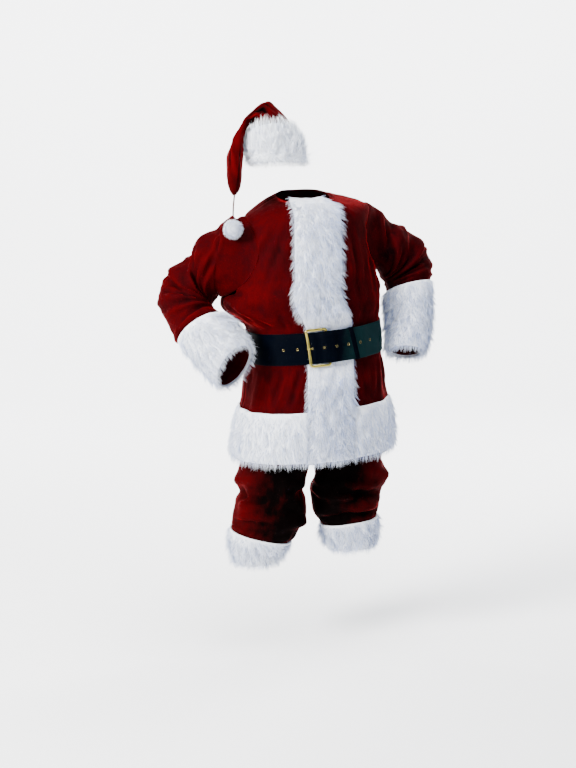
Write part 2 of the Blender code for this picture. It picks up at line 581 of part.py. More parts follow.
# ---------------------------------------------------------------- hat
# the crown as it folds over: left line x, z, right line x, z, middle y and half the depth
HAT = (
    (-0.182, 1.642, -0.010, 1.647, 0.000, 0.101), (-0.187, 1.690, -0.022, 1.700, 0.000, 0.101),
    (-0.178, 1.735, -0.044, 1.749, 0.000, 0.097), (-0.170, 1.758, -0.066, 1.783, 0.000, 0.090),
    (-0.171, 1.764, -0.094, 1.808, 0.000, 0.084), (-0.175, 1.766, -0.119, 1.826, 0.000, 0.078),
    (-0.179, 1.763, -0.158, 1.802, -0.002, 0.073), (-0.186, 1.754, -0.188, 1.779, -0.006, 0.069),
    (-0.191, 1.737, -0.207, 1.745, -0.012, 0.066), (-0.198, 1.706, -0.231, 1.704, -0.022, 0.063),
    (-0.200, 1.665, -0.246, 1.660, -0.040, 0.059), (-0.200, 1.622, -0.251, 1.618, -0.062, 0.053),
    (-0.202, 1.583, -0.248, 1.578, -0.084, 0.044), (-0.207, 1.553, -0.239, 1.549, -0.101, 0.028),
    (-0.2180, 1.535, -0.2285, 1.533, -0.110, 0.0055),
)
HAT_COLUMNS = 18
# row of the table, and the power of the cosine across: less than 1 is a flatter tail
TAIL_SHAPE = ((4, 1.0), (6, 0.50), (10, 0.50), (14, 0.85))
BRIM_RISE = (0.006, 0.018, 0.021, 0.021, 0.018, 0.006)      # of the fur, from below upward
BRIM_HANG = 0.28                # rows of the table that the fur hangs below the crown
PRESSED = 0.45                  # share of the brim's fur flattened where the tail lies on it
hat = np.array(HAT)
turn = 2 * np.pi * np.arange(HAT_COLUMNS) / HAT_COLUMNS
a = np.stack([hat[:, 0], hat[:, 4], hat[:, 1]], axis=1)
b = np.stack([hat[:, 2], hat[:, 4], hat[:, 3]], axis=1)
flat = np.interp(np.arange(len(hat)), *np.array(TAIL_SHAPE).T)[:, None]
wide = np.sign(np.cos(turn)) * abs(np.cos(turn))[None, :] ** flat
rings = ((a + b)[:, None] / 2 + wide[:, :, None] * (b - a)[:, None] / 2
         - np.sin(turn)[None, :, None] * hat[:, 5][:, None, None] * np.array([0, 1, 0]))
hat_rows = [0, 0.5, 1.0, 1.7, 2.5, 3.3, 4.6, 5.8, 7, 8.1, 9, 10, 11, 12, 13, 14]
crown = smooth(np.arange(len(rings)), rings, hat_rows)
crown_out = normals_of(crown, True)
if np.sum(crown_out[2] * (crown[2] - crown[2].mean(axis=0))) < 0:
    crown_out = -crown_out
cloth("hat_crown", crown, crown_out, True)
low = crown[:1] * 2 - smooth(np.arange(len(rings)), rings, [BRIM_HANG])
brim_rows = len(BRIM_RISE) - 1
brim = np.concatenate([low, crown[:brim_rows]])
brim_out = np.concatenate([crown_out[:1], crown_out[:brim_rows]])
brim_out = unit(brim_out * np.array([1, 1, 0.3]))
press = 1 - PRESSED * np.maximum(0, -np.cos(turn)) ** 2
band("hat_brim_fur", brim, brim_out, np.array(BRIM_RISE)[:, None] * press[None, :], True)


def tube(name, path, radius, kind, sides=6):
    """A closed round bar through points."""
    path = np.array(path, float)
    along = unit(np.gradient(path, axis=0))
    first = unit(np.cross(along[0], (0.3, 0.9, 0.2)))
    points = []
    for p, d in zip(path, along):
        first = unit(first - d * (first @ d))
        second = np.cross(d, first)
        for k in range(sides):
            t = 2 * math.pi * k / sides
            points.append(p + radius * (first * math.cos(t) + second * math.sin(t)))
    faces = [tuple(reversed(range(sides)))]
    for i in range(len(path) - 1):
        for k in range(sides):
            j = (k + 1) % sides
            faces.append((i * sides + k, i * sides + j, (i + 1) * sides + j))
            faces.append((i * sides + k, (i + 1) * sides + j, (i + 1) * sides + k))
    last = (len(path) - 1) * sides
    faces.append(tuple(range(last, last + sides)))
    return add_object(name, points, faces, kind)


# the pompom: a ball of short locks that rests on the shoulder, on its tie
POMPOM = np.array([-0.227, -0.1478, 1.430])
POMPOM_CORE, LOCK, LOCK_SPREAD, LOCK_TIP = 0.0215, 0.0085, 0.0015, 0.38
TIE_RADIUS = 0.0024


def pompom():
    bm = bmesh.new()
    bmesh.ops.create_icosphere(bm, subdivisions=2, radius=POMPOM_CORE)
    for face in list(bm.faces):
        middle = face.calc_center_median()
        made = bmesh.ops.extrude_discrete_faces(bm, faces=[face])["faces"][0]
        long = LOCK + LOCK_SPREAD * math.sin(middle.x * 900 + middle.z * 700)
        for v in made.verts:
            v.co = middle * (1 + long / middle.length) + (v.co - middle) * LOCK_TIP
    bm.verts.index_update()
    add_object("hat_pompom", np.array([v.co for v in bm.verts]) + POMPOM,
               [[v.index for v in f.verts] for f in bm.faces], "fur")
    bm.free()


pompom()
tube("pompom_tie", [(-0.2232, -0.1095, 1.5400), (-0.2240, -0.1125, 1.5280),
                    (-0.2262, -0.1200, 1.505), (-0.2270, -0.1300, 1.4800),
                    (-0.2270, -0.1407, 1.4576)], TIE_RADIUS, "velvet")

# ---------------------------------------------------------------- belt
BELT_MIDDLE = BELT_ROWS[1]
BELT_HALF = 0.050         # half the strap's height
BELT_RADIUS = 0.190       # turns degrees round the body into a length
BAR_HEIGHT = 0.0112       # middle of the buckle's bars above the cloth
PRONG_AT = -18.2
BUCKLE_LEFT, BUCKLE_HEEL = -21.5, -3.3
LEAN = -37.0              # degrees round the body a metre up, at the buckle
LEAN_REACH = 20           # degrees to each side over which that lean fades
# the strap's middle line: degrees round from the front, millimetres above the cloth
STRAP = (
    (9, 7.3), (4, 7.3), (0, 7.3), (-3.3, 7.3), (-4.3, 7.5), (-5.2, 8.8), (-5.6, 11.2),
    (-5.2, 13.7), (-4.3, 14.9), (-3.3, 15.1), (0, 15.1), (3, 14.0), (6.5, 10.9), (9.5, 10.3),
    (13, 10.2), (18, 10.2), (22, 10.2), (26, 10.2), (30, 10.1), (34, 8.0), (38, 4.6), (42, 2.8),
    # the plain part takes the columns of the coat beneath
    (318, 2.5), (325, 3.0), (331, 5.2), (334.5, 7.1), (336.5, 7.3), (338.5, 7.3),
    (339.9, 7.4), (341.4, 9.0), (342.7, 10.4), (347, 10.6), (350.5, 12.8), (353.5, 17.0),
    (356, 18.5), (360, 18.5), (363, 17.5), (366.5, 14.2), (369.5, 13.5), (373, 13.3),
    (378, 13.3), (382, 13.3), (386, 13.3), (390, 13.2), (394, 11.1), (398, 7.8), (402, 6.0),
    (408, 5.8), (414, 5.8), (419, 5.8), (422.5, 5.8), (424.5, 5.8),
)
PLAIN_FROM, PLAIN_TO, PLAIN_HIGH = 43, 317, 2.5
TIP = {419: 0.93, 422.5: 0.74, 424.5: 0.45}     # share of the height, at the pointed end


def belt_point(degrees, up, out):
    """A point of the belt: round the body, above its middle line, off the cloth."""
    away = (degrees + 180) % 360 - 180 - (BUCKLE_LEFT + BUCKLE_HEEL) / 2
    angle = math.radians(degrees + LEAN * up * math.exp(-(away / LEAN_REACH) ** 2))
    held = min(max(up, -BELT_HALF), BELT_HALF)
    p = body_ring(BELT_MIDDLE + held, np.array([angle]))[0]
    p = p + np.array([0, 0, up - held])
    a, b = body_ring(BELT_MIDDLE, np.array([angle - 0.03, angle + 0.03]))
    side = b - a
    normal = np.array([side[1], -side[0], 0.0])
    return p + normal / np.linalg.norm(normal) * out


near = math.degrees(strip_angle(BELT_MIDDLE))
step = (90 - near) / COLUMNS_FRONT
plain = [near + step * k for k in range(COLUMNS_FRONT)]
plain += [90 + 180 / COLUMNS_BACK * k for k in range(COLUMNS_BACK)]
plain += [270 + step * k for k in range(COLUMNS_FRONT + 1)]
path = [q for q in STRAP if q[0] < PLAIN_FROM]
path += [(d, PLAIN_HIGH) for d in plain if PLAIN_FROM < d < PLAIN_TO]
path = np.array(path + [q for q in STRAP if q[0] > PLAIN_TO], float)
flatten = np.stack([np.radians(path[:, 0]) * BELT_RADIUS, path[:, 1] / 1000], axis=1)
run = np.gradient(flatten, axis=0)
run = run / np.linalg.norm(run, axis=1, keepdims=True)
off = np.stack([-run[:, 1], run[:, 0]], axis=1) * LEATHER / 2
faces_of = []
for side in (1, -1):
    edge = flatten + side * off
    surface = []
    for up in (-BELT_HALF, 0.0, BELT_HALF):
        row = []
        for (at, high), (degrees, _) in zip(edge, path):
            share = TIP.get(float(degrees), 1.0)
            row.append(belt_point(math.degrees(at / BELT_RADIUS), up * share, high))
        surface.append(row)
    faces_of.append(np.array(surface))
points, faces = wall(faces_of[0], faces_of[1], False)
strap = add_object("belt_strap", points, faces, "leather")


def frame_of(degrees, up, out):
    """Middle and the three directions of a place on the belt."""
    p = belt_point(degrees, up, out)
    x = unit(belt_point(degrees + 0.5, up, out) - belt_point(degrees - 0.5, up, out))
    z = unit(belt_point(degrees, up, out + 0.001) - p)
    return p, x, np.cross(z, x), z


def cutter(name, points, faces):
    thing = add_object(name, points, faces, "leather")
    thing.hide_render = True
    thing.display_type = "WIRE"
    return thing


def cut(target, tool):
    step = target.modifiers.new("cut_" + tool.name, "BOOLEAN")
    step.operation, step.solver, step.object = "DIFFERENCE", "EXACT", tool


def prism(place, ring, low, high):
    """A prism on a place of the belt: `ring` across it, from low to high along it."""
    p, x, y, z = place
    n = len(ring)
    points = [p + x * a + y * b + z * h for h in (low, high) for a, b in ring]
    faces = [tuple(reversed(range(n))), tuple(range(n, 2 * n))]
    faces += [(k, (k + 1) % n, n + (k + 1) % n, n + k) for k in range(n)]
    return points, faces


def circle(radius, n):
    return [(radius * math.cos(2 * math.pi * k / n), radius * math.sin(2 * math.pi * k / n))
            for k in range(n)]


EYELET_FIRST, EYELET_STEP, EYELET_COUNT, PRONG_EYELET = -43.5, 12, 8, 2
HOLE, HOLE_HALF_DEEP, EYELET_SIDES = 0.0028, 0.0022, 8
# radius and height above the leather, round the rim's section
RIM = ((0.0044, 0.0004), (0.0041, 0.0015), (0.0031, 0.0015), (0.0027, 0.0004))
over = np.array([p for p in STRAP if p[0] > PLAIN_TO], float)


def over_height(degrees):
    """Height of the outer end of the strap above the cloth."""
    return float(np.interp(degrees + 360, over[:, 0], over[:, 1])) / 1000


def eyelet(number, degrees):
    p, _, y, _ = frame_of(degrees, 0.0, over_height(degrees))
    x = unit(belt_point(degrees + 1, 0, over_height(degrees + 1))
             - belt_point(degrees - 1, 0, over_height(degrees - 1)))
    z = np.cross(x, y)
    points, faces = prism((p, x, y, z), circle(HOLE, 6), -HOLE_HALF_DEEP, HOLE_HALF_DEEP)
    cut(strap, cutter("hole_%d" % number, points, faces))
    points = [p + x * r * c + y * r * s + z * (LEATHER / 2 + h)
              for c, s in circle(1, EYELET_SIDES) for r, h in RIM]
    n, m = EYELET_SIDES, len(RIM)
    faces = [(j * m + i, j * m + (i + 1) % m, (j + 1) % n * m + (i + 1) % m, (j + 1) % n * m + i)
             for j in range(n) for i in range(m)]
    add_object("belt_eyelet_%d" % number, points, faces, "brass")


EYELETS = [EYELET_FIRST + EYELET_STEP * k for k in range(EYELET_COUNT)]
EYELETS[PRONG_EYELET] = PRONG_AT
for k, degrees in enumerate(EYELETS):
    eyelet(k + 1, degrees)

# the slot in the fold round the heel bar, for the prong: degrees and height of its outline
SLOT = ((-6.4, 0.0052), (0.6, 0.0052), (0.6, 0.0166), (-4.4, 0.0166), (-6.4, 0.0150))
SLOT_HALF = 0.0032
slot = [belt_point(d, u, h) for d, h in SLOT for u in (-SLOT_HALF, SLOT_HALF)]
n = len(SLOT)
faces = [tuple(2 * k for k in range(n)), tuple(2 * k + 1 for k in reversed(range(n)))]
faces += [(2 * k, 2 * k + 1, 2 * ((k + 1) % n) + 1, 2 * ((k + 1) % n)) for k in range(n)]
cut(strap, cutter("prong_slot", slot, faces))

# the buckle's frame, a rounded bar bent round the body
CORNER, BUCKLE_HALF_HIGH = 0.0065, 0.0575
# across the bar and off the cloth, round its section
BAR = ((-0.0042, -0.0012), (-0.0030, -0.0022), (0.0030, -0.0022), (0.0042, -0.0012),
       (0.0042, 0.0008), (0.0026, 0.0022), (-0.0026, 0.0022), (-0.0042, 0.0008))


def split(quads):
    return [f for q in quads for f in ((q[0], q[1], q[2]), (q[0], q[2], q[3]))]


def buckle_path():
    """Points of the bar's middle line, each with its outward direction."""
    left = math.radians(BUCKLE_LEFT) * BELT_RADIUS
    right = math.radians(BUCKLE_HEEL) * BELT_RADIUS
    near_x, far_x = left + CORNER, right - CORNER
    low, high = -BUCKLE_HALF_HIGH + CORNER, BUCKLE_HALF_HIGH - CORNER
    line = []
    for x, z, start in ((far_x, high, 0), (near_x, high, 90), (near_x, low, 180),
                        (far_x, low, 270)):
        for k in range(3):
            c, s = math.cos(math.radians(start + 45 * k)), math.sin(math.radians(start + 45 * k))
            line.append((x + CORNER * c, z + CORNER * s, c, s))
        # and the middle of the side that follows
        side_x, side_z = {0: (0, 1), 90: (-1, 0), 180: (0, -1), 270: (1, 0)}[start]
        line.append(((left + right) / 2 + side_x * (right - left) / 2,
                     side_z * BUCKLE_HALF_HIGH, side_x, side_z))
    return line


def buckle():
    line, n = buckle_path(), len(BAR)
    points = [belt_point(math.degrees((at + dx * across) / BELT_RADIUS), up + dz * across,
                         BAR_HEIGHT + off) for at, up, dx, dz in line for across, off in BAR]
    m = len(line)
    quads = [(i * n + k, i * n + (k + 1) % n, (i + 1) % m * n + (k + 1) % n, (i + 1) % m * n + k)
             for i in range(m) for k in range(n)]
    add_object("belt_buckle", points, split(quads), "brass")


buckle()
# degrees round from the front and millimetres off the cloth, from the heel to the tip

PRONG = ((-4.0, 7.0), (-2.2, 7.2), (-1.45, 9.0), (-1.45, 13.2), (-2.4, 15.1),
         (-4.2, 15.1), (-5.4, 13.2), (-6.3, 10.2), (-8.0, 8.0), (-11.0, 7.0), (-15.4, 7.0),
         (-17.1, 7.1), (-18.0, 8.2), (-18.2, 10.6), (-18.4, 13.4), (-19.4, 15.2),
         (-21.6, 15.6), (-23.4, 15.0))
PRONG_RADIUS = 0.0013
tube("belt_prong", [belt_point(d, 0.0, h / 1000) for d, h in PRONG], PRONG_RADIUS, "brass")

# the keeper round both layers
KEEPER_AT, KEEPER_LEAN, KEEPER_HALF = 22.4, -60.0, 0.0075
# half height, and the near and far side above the cloth, of its inner and outer loop
KEEPER_IN, KEEPER_OUT = (0.0508, 0.0083, 0.0150), (0.0526, 0.0066, 0.0167)


def keeper():
    points = []
    for along in (-KEEPER_HALF, KEEPER_HALF):
        for high, near_side, far_side in (KEEPER_OUT, KEEPER_IN):
            loop = [(up, off) for off, ups in ((near_side, (-high, 0, high)),
                                               (far_side, (high, 0, -high))) for up in ups]
            for up, off in loop:
                degrees = KEEPER_AT + math.degrees(along / BELT_RADIUS) + KEEPER_LEAN * up
                points.append(belt_point(degrees, up, off))
    n = len(loop)
    quads = []
    for k in range(n):
        j = (k + 1) % n
        quads += [(k, j, 2 * n + j, 2 * n + k), (n + j, n + k, 3 * n + k, 3 * n + j),
                  (j, k, n + k, n + j), (2 * n + k, 2 * n + j, 3 * n + j, 3 * n + k)]
    add_object("belt_keeper", points, split(quads), "leather")


keeper()
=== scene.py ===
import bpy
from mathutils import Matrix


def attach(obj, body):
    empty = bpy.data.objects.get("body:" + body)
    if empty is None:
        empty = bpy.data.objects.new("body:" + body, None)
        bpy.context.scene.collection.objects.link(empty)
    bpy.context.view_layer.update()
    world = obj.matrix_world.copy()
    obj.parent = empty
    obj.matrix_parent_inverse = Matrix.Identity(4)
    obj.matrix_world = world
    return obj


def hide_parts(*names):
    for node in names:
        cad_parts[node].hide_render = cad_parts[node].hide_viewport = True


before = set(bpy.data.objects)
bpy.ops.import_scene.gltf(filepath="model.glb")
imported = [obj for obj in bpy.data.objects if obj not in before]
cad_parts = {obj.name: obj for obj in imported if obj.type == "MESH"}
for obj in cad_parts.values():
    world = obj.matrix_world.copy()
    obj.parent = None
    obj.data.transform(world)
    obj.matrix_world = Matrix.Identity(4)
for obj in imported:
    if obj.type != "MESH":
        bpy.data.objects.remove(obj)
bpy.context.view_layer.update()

import math

import bpy
import numpy as np
from mathutils import Vector

# heights in the tables are above the floor; x runs to the wearer's left, y to the back
liftOfOrigin = 1.480
allRound = 2 * math.pi
clothThick = 0.0022                 # velvet and its lining
furGap = 0.0006                     # from the cloth to the fur's backing
chestTurn = math.radians(16)        # to the wearer's left
boxiness = 2.35                     # of a section of the body: 2 is an ellipse
stripHalf = 0.078
beltMiddle, beltHalf = 1.068, 0.050
down = np.array([0.0, 0.0, -1.0])


def alongRows(knots, values, x):
    # a smooth curve through the values of a table's rows
    knots, values = np.asarray(knots, float), np.asarray(values, float)
    step = np.diff(knots)
    shape = (-1,) + (1,) * (values.ndim - 1)
    slope = np.diff(values, axis=0) / step.reshape(shape)
    mid = slope[:-1] * step[1:].reshape(shape) + slope[1:] * step[:-1].reshape(shape)
    mid = mid / (step[:-1] + step[1:]).reshape(shape)
    tangent = np.concatenate([slope[:1], mid, slope[-1:]])
    x = np.atleast_1d(np.asarray(x, float))
    k = np.clip(np.searchsorted(knots, x, side="right") - 1, 0, len(knots) - 2)
    h = step[k].reshape((-1,) + (1,) * (values.ndim - 1))
    t = ((x - knots[k]) / step[k]).reshape(h.shape)
    return (values[k] * (2 * t**3 - 3 * t**2 + 1) + tangent[k] * h * (t**3 - 2 * t**2 + t)
            + values[k + 1] * (3 * t**2 - 2 * t**3) + tangent[k + 1] * h * (t**3 - t**2))


def hump(x, middle, wide):
    return np.exp(-((x - middle) / wide) ** 2)


def unit(v):
    return v / np.maximum(np.linalg.norm(v, axis=-1, keepdims=True), 1e-9)


def ease(x, low, high):
    t = np.clip((np.asarray(x, float) - low) / (high - low), 0, 1)
    return t * t * (3 - 2 * t)


def halfRound(degrees):
    # the same way round, between -180 and 180
    return (degrees + 180) % 360 - 180


def boxyRadius(s, c, wide, deep, power=boxiness):
    # of a rounded box of these half sizes, towards the way (s, c)
    return (abs(s / wide) ** power + abs(c / deep) ** power) ** (-1 / power)


def turnedWithChest(centre, x, y, z):
    s, c = math.sin(chestTurn), math.cos(chestTurn)
    return np.stack([centre[0] + x * c - y * s, centre[1] + x * s + y * c,
                     np.broadcast_to(z, np.shape(x))], axis=-1)


def rippleAt(points, size, seed, count=14):
    # smooth uneven waves about 1 high, without a pattern
    draw = np.random.default_rng(seed)
    waves = unit(draw.normal(size=(count, 3))) * draw.uniform(0.6, 1.5, (count, 1))
    phases = draw.uniform(0, allRound, count)
    total = np.zeros(points.shape[:-1])
    for wave, phase in zip(waves, phases):
        total += np.sin(points @ wave * (allRound / size) + phase)
    return total / math.sqrt(count / 2)


def gridNormals(grid, around, towards=None):
    along = np.gradient(grid, axis=0)
    if around:
        across = (np.roll(grid, -1, axis=1) - np.roll(grid, 1, axis=1)) / 2
    else:
        across = np.gradient(grid, axis=1)
    out = unit(np.cross(unit(across), unit(along)))
    if towards is not None and np.sum(out * towards) < 0:
        out = -out
    return out


def skinFaces(rows, columns, first, around, flip):
    i, j = np.meshgrid(np.arange(rows - 1), np.arange(columns if around else columns - 1),
                       indexing="ij")
    a = first + i * columns + j
    b = first + i * columns + (j + 1) % columns
    quads = np.stack([a, b, b + columns, a + columns], axis=-1).reshape(-1, 4)
    return quads[:, ::-1] if flip else quads


def wallOf(outer, inner, around):
    rows, columns = outer.shape[:2]
    n = rows * columns
    points = np.concatenate([outer.reshape(-1, 3), inner.reshape(-1, 3)])
    j = np.arange(columns if around else columns - 1)
    k = (j + 1) % columns
    last = (rows - 1) * columns
    edges = [np.stack([j, k], axis=1), np.stack([last + k, last + j], axis=1)]
    if not around:
        i = np.arange(rows - 1) * columns
        edges.append(np.stack([i + columns, i], axis=1))
        edges.append(np.stack([i + columns - 1, i + 2 * columns - 1], axis=1))
    edges = np.concatenate(edges)
    rims = np.stack([edges[:, 1], edges[:, 0], edges[:, 0] + n, edges[:, 1] + n], axis=1)
    return points, np.concatenate([skinFaces(rows, columns, 0, around, False),
                                   skinFaces(rows, columns, n, around, True), rims])


def volumeOf(points, faces):
    total = 0.0
    for k in range(1, faces.shape[1] - 1):
        a, b, c = points[faces[:, 0]], points[faces[:, k]], points[faces[:, k + 1]]
        total += np.sum(a * np.cross(b, c))
    return total / 6


def addPiece(name, points, faces, finish):
    # faces: one array of quads or triangles, or a list of such arrays
    sets = faces if isinstance(faces, list) else [faces]
    points = np.asarray(points, float) - np.array([0, 0, liftOfOrigin])
    if sum(volumeOf(points, np.asarray(f)) for f in sets) < 0:
        sets = [np.asarray(f)[:, ::-1] for f in sets]
    mesh = bpy.data.meshes.new(name)
    mesh.vertices.add(len(points))
    mesh.vertices.foreach_set("co", points.astype(np.float32).ravel())
    corners = np.concatenate([np.asarray(f).ravel() for f in sets]).astype(np.int32)
    sizes = np.concatenate([np.full(len(f), np.asarray(f).shape[1]) for f in sets])
    mesh.loops.add(len(corners))
    mesh.loops.foreach_set("vertex_index", corners)
    mesh.polygons.add(len(sizes))
    starts = np.concatenate([[0], np.cumsum(sizes)[:-1]]).astype(np.int32)
    mesh.polygons.foreach_set("loop_start", starts)
    mesh.update(calc_edges=True)
    mesh.validate()
    if finish:
        mesh.shade_smooth()
        mesh.materials.append(finish)
    return placeInScene(name, mesh)


def placeInScene(name, data):
    thing = bpy.data.objects.new(name, data)
    bpy.context.scene.collection.objects.link(thing)
    return thing


def evaluatedMesh(piece):
    graph = bpy.context.evaluated_depsgraph_get()
    return bpy.data.meshes.new_from_object(piece.evaluated_get(graph), depsgraph=graph)


def writeLayer(mesh, name, values):
    # one number or one vector for each point
    values = np.asarray(values, np.float32)
    kind, field = ("FLOAT_VECTOR", "vector") if values.ndim == 2 else ("FLOAT", "value")
    mesh.attributes.new(name, kind, "POINT").data.foreach_set(field, values.ravel())


def areaOf(piece):
    return sum(face.area for face in piece.data.polygons)


def readFor(piece, slot, *nodes):
    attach(piece, "root")
    if nodes:
        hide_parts(*nodes)
    return piece


class Wire:
    # a node's socket that can be written into sums
    def __init__(self, board, socket):
        self.board, self.socket = board, socket

    def math(self, operation, other=0.0, flip=False, clamp=False):
        pair = (other, self) if flip else (self, other)
        return self.board.node("ShaderNodeMath", {"operation": operation, "use_clamp": clamp},
                               dict(enumerate(pair)))

    def __add__(self, other):
        return self.math("ADD", other)

    def __sub__(self, other):
        return self.math("SUBTRACT", other)

    def __rsub__(self, other):
        return self.math("SUBTRACT", other, flip=True)

    def __mul__(self, other):
        return self.math("MULTIPLY", other)

    def __truediv__(self, other):
        return self.math("DIVIDE", other)

    def __rtruediv__(self, other):
        return self.math("DIVIDE", other, flip=True)

    __radd__, __rmul__ = __add__, __mul__

    def clamp(self):
        return self.math("ADD", clamp=True)

    def beside(self, name):
        # another output of the same node
        return Wire(self.board, self.socket.node.outputs[name])


class Board:
    # a node tree, of a material or of geometry
    def __init__(self, tree):
        self.tree = tree

    def feed(self, socket, value):
        if isinstance(value, Wire):
            self.tree.links.new(value.socket, socket)
        else:
            socket.default_value = value

    def node(self, kind, settings=None, inputs=None, out=0):
        made = self.tree.nodes.new(kind)
        for key, value in (settings or {}).items():
            setattr(made, key, value)
        for key, value in (inputs or {}).items():
            self.feed(made.inputs[key], value)
        return Wire(self, made.outputs[out])

    def vector(self, operation, first, second):
        return self.node("ShaderNodeVectorMath", {"operation": operation},
                         {0: first, "Scale" if operation == "SCALE" else 1: second})


class Finish(Board):
    def __init__(self, name, fixed):
        self.material = bpy.data.materials.new(name)
        self.material.use_nodes = True
        super().__init__(self.material.node_tree)
        self.shader = self.tree.nodes["Principled BSDF"]
        for socket, value in fixed.items():
            self.shader.inputs[socket].default_value = value

    def place(self):
        return self.node("ShaderNodeTexCoord", out="Object")

    def axes(self):
        x = self.node("ShaderNodeSeparateXYZ", inputs={"Vector": self.place()}, out="X")
        return x, x.beside("Y"), x.beside("Z")

    def layer(self, name):
        return self.node("ShaderNodeAttribute", {"attribute_name": name}, out="Fac")

    def noise(self, scale, detail=2.0, rough=0.5, stretch=None):
        where = self.place()
        if stretch:
            where = self.node("ShaderNodeMapping", inputs={"Vector": where, "Scale": stretch})
        return self.node("ShaderNodeTexNoise",
                         inputs={"Vector": where, "Scale": scale, "Detail": detail,
                                 "Roughness": rough})

    def between(self, low, high, share):
        return self.node("ShaderNodeMix", {"data_type": "RGBA"},
                         {0: share, 6: (*low, 1), 7: (*high, 1)}, out=2)

    def bump(self, height, distance, strength):
        return self.node("ShaderNodeBump", inputs={"Height": height, "Distance": distance,
                                                   "Strength": strength})

    def done(self, **sockets):
        for name, value in sockets.items():
            self.feed(self.shader.inputs[name.replace("_", " ")], value)
        return self.material


velvet = {
    "crushSize": 9.0, "crush": 1.3, "furrowSize": 55.0, "furrow": 0.6, "napSize": 700.0,
    "nap": 0.5, "lit": 0.55, "foldDepth": 0.008,
    # painted light and shade of the legs: lighter at the sides and back, darker in the middle
    "bodyMiddle": 0.025, "innerShade": 1.45, "rearFrom": 0.03, "rearLit": 0.6,    # of the legs
}


def velvetFinish(name, deep, lit, sheen, spread, glow, foldShade, sideLight=0.0, farSideShade=0.0):
    # foldShade: painted shade and light, how much darker a fold's valley and lighter its ridge is
    # sideLight: painted light, how much redder the legs are away from the middle of the body, as if
    # lit at the sides
    # farSideShade: painted shade, how much darker it is towards the left arm, away from the key
    # lamp
    f = Finish(name, {"Sheen Weight": sheen, "Sheen Roughness": spread,
                      "Sheen Tint": (*glow, 1), "Specular IOR Level": 0.012})
    crush = f.noise(velvet["crushSize"], 5.0, 0.62)
    furrow = f.noise(velvet["furrowSize"], 3.0, 0.55, stretch=(1.0, 1.0, 0.45))
    nap = f.noise(velvet["napSize"], 2.0, 0.6)
    # the fold layer gives painted shade in the folds' valleys and painted light on their ridges;
    # crush, furrow and nap are random tone
    share = ((crush - 0.5) * velvet["crush"] + (furrow - 0.5) * velvet["furrow"]
             + (nap - 0.5) * velvet["nap"] + velvet["lit"] + f.layer("fold") * foldShade)
    x, y, z = f.axes()
    # painted shade on the side away from the key lamp
    if farSideShade:
        share = share - x.clamp() * farSideShade
    # painted light on the legs' sides and back, painted shade towards their middle
    if sideLight:
        share = (share + (x - velvet["bodyMiddle"]).math("ABSOLUTE") * sideLight
                 - velvet["innerShade"]
                 + ((y - velvet["rearFrom"]) * 10.0).clamp() * velvet["rearLit"])
    return f.done(Base_Color=f.between(deep, lit, share.clamp()),
                  Roughness=0.72 + crush * 0.2,
                  Normal=f.bump(furrow + nap * 0.35 + crush * 0.8, 0.004, 0.38))


furLook = {
    # painted shade: the dark bluish root colour makes the roots and the gaps between strands read
    # as shadow
    "root": (0.30, 0.38, 0.62), "tip": (0.925, 0.96, 1.0), "patchSize": 14.0, "patch": 0.4,
    "fromTip": 0.85, "fromStrand": 0.62, "dark": 0.16,
    # painted shade: darker and bluer towards the left arm, away from the key lamp
    "coolShadeFrom": -0.05, "coolShade": 0.25,        # cooler towards the left arm
    "hatFrom": 0.10, "hatPale": 0.32,       # paler on the hat
}


def furFinish():
    f = Finish("fur", {"Sheen Weight": 0.25, "Sheen Roughness": 0.5,
                       "Specular IOR Level": 0.15})
    patch = f.noise(furLook["patchSize"], 3.0, 0.5)
    tip, shade = f.layer("tip"), f.layer("shade")    # 0 at a root and 1 at a tip; one a strand
    # painted shade towards the roots, where strands shade each other; shade and patch are random
    # tone
    share = (tip * furLook["fromTip"] + shade * furLook["fromStrand"]
             + (patch - 0.5) * furLook["patch"] - furLook["dark"])
    x, y, z = f.axes()
    # painted shade towards the left arm; paler on the hat
    share = (share - ((x - furLook["coolShadeFrom"]) * 6.0).clamp() * furLook["coolShade"]
             + ((z - furLook["hatFrom"]) * 20.0).clamp() * furLook["hatPale"])
    return f.done(Base_Color=f.between(furLook["root"], furLook["tip"], share.clamp()),
                  Roughness=0.70 + shade * 0.2)


def furBackingFinish():
    f = Finish("furBacking", {"Sheen Weight": 0.2, "Specular IOR Level": 0.2})
    fibre = f.noise(260.0, 3.0, 0.6, stretch=(1.0, 1.0, 0.2))
    tuft = f.noise(45.0, 2.0, 0.5)
    # painted shade: the backing is darker and bluer than the strands, so the gaps between them read
    # as shadow; fibre is random tone
    return f.done(Base_Color=f.between((0.62, 0.65, 0.71), (0.86, 0.87, 0.89), fibre),
                  Roughness=0.9 + fibre * 0.08,
                  Normal=f.bump(fibre + tuft * 1.5, 0.004, 0.6))


# dark is the leather's own colour; greenSheen is a painted blue-green reflection
leather = {"dark": (0.0001, 0.0006, 0.0020), "greenSheen": (0.0030, 0.0125, 0.0135),
           "cloud": 1.1, "scuff": 0.5, "rearFrom": -0.03}


